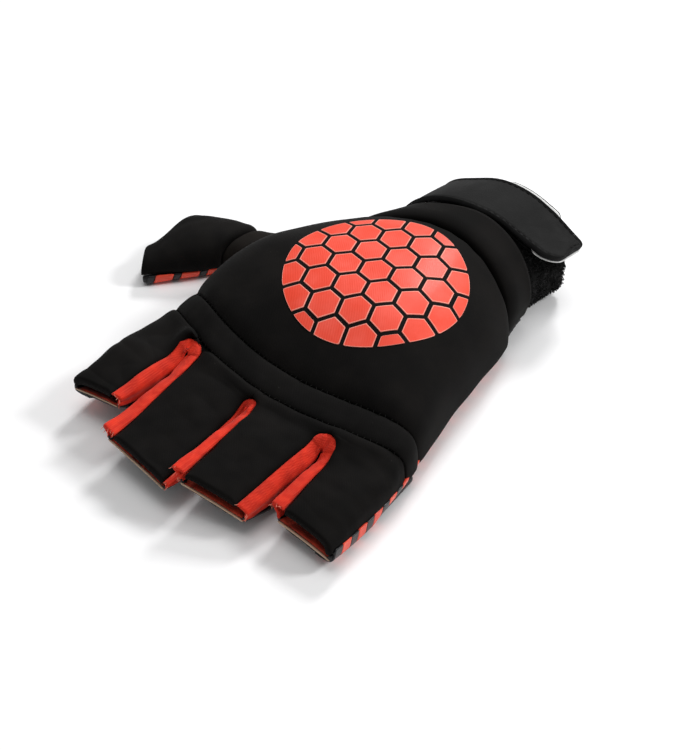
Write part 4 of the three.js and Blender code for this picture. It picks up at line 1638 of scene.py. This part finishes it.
CAMERA_AZIMUTH = math.radians(220)
CAMERA_ELEVATION = math.radians(38)
CAMERA_DISTANCE = 0.586
CAMERA_TARGET = Vector((0, 0, 0.019))
CAMERA_LENS = 76.8  # mm, on a sensor 36 mm wide
CAMERA_SHIFT = -35 / 750


def build_stage():
    white = Finish("white_floor", 0.55, specular=0.25)
    tone = white.blend(white.noise(60, 2) * 0.05, (0.93, 0.93, 0.935), (0.9, 0.9, 0.905))
    white.set("Base Color", tone)
    ways = ((-1, -1), (1, -1), (1, 1), (-1, 1))
    corners = [(x * FLOOR_REACH, y * FLOOR_REACH, FLOOR_HEIGHT) for x, y in ways]
    mesh = bpy.data.meshes.new("floor")
    mesh.from_pydata(corners, [], [(0, 1, 2, 3)])
    mesh.materials.append(white.material)
    add_object("floor", mesh)


def build_lights():
    world = bpy.data.worlds.new("studio")
    world.use_nodes = True
    world.node_tree.nodes["Background"].inputs["Color"].default_value = (1, 1, 1, 1)
    world.node_tree.nodes["Background"].inputs["Strength"].default_value = WORLD_STRENGTH
    bpy.context.scene.world = world
    for name, place, width, power in LIGHTS:
        data = bpy.data.lights.new(name, "AREA")
        data.shape = "RECTANGLE"
        data.size = data.size_y = width
        data.energy = power
        lamp = add_object(name, data)
        lamp.location = place
        lamp.rotation_euler = (Vector(LIGHTS_AIM) - Vector(place)).to_track_quat("-Z", "Y").to_euler()
    view = bpy.context.scene.view_settings
    view.view_transform = "Standard"
    view.look = "None"


def build_camera():
    data = bpy.data.cameras.new("camera")
    data.sensor_width = 36
    data.lens = CAMERA_LENS
    data.shift_y = CAMERA_SHIFT
    data.clip_start = 0.01
    data.dof.use_dof = False
    camera = add_object("camera", data)
    flat = math.cos(CAMERA_ELEVATION)
    plan = math.sin(CAMERA_AZIMUTH) * flat, -math.cos(CAMERA_AZIMUTH) * flat
    back = Vector((*plan, math.sin(CAMERA_ELEVATION)))
    camera.location = CAMERA_TARGET + back * CAMERA_DISTANCE
    camera.rotation_euler = (-back).to_track_quat("-Z", "Y").to_euler()
    bpy.context.scene.camera = camera


# Build

build_camera()
build_lights()
build_stage()
pad = build_back_pad()
build_knuckle_band()
build_cuff_collar()
build_finger_pads()
build_gussets()
build_thumb()
build_palm()
build_bars()
build_finger_ends()
build_print(pad)
build_stitches()
build_cuff()
build_strap()
build_label_stitches()
build_frays()
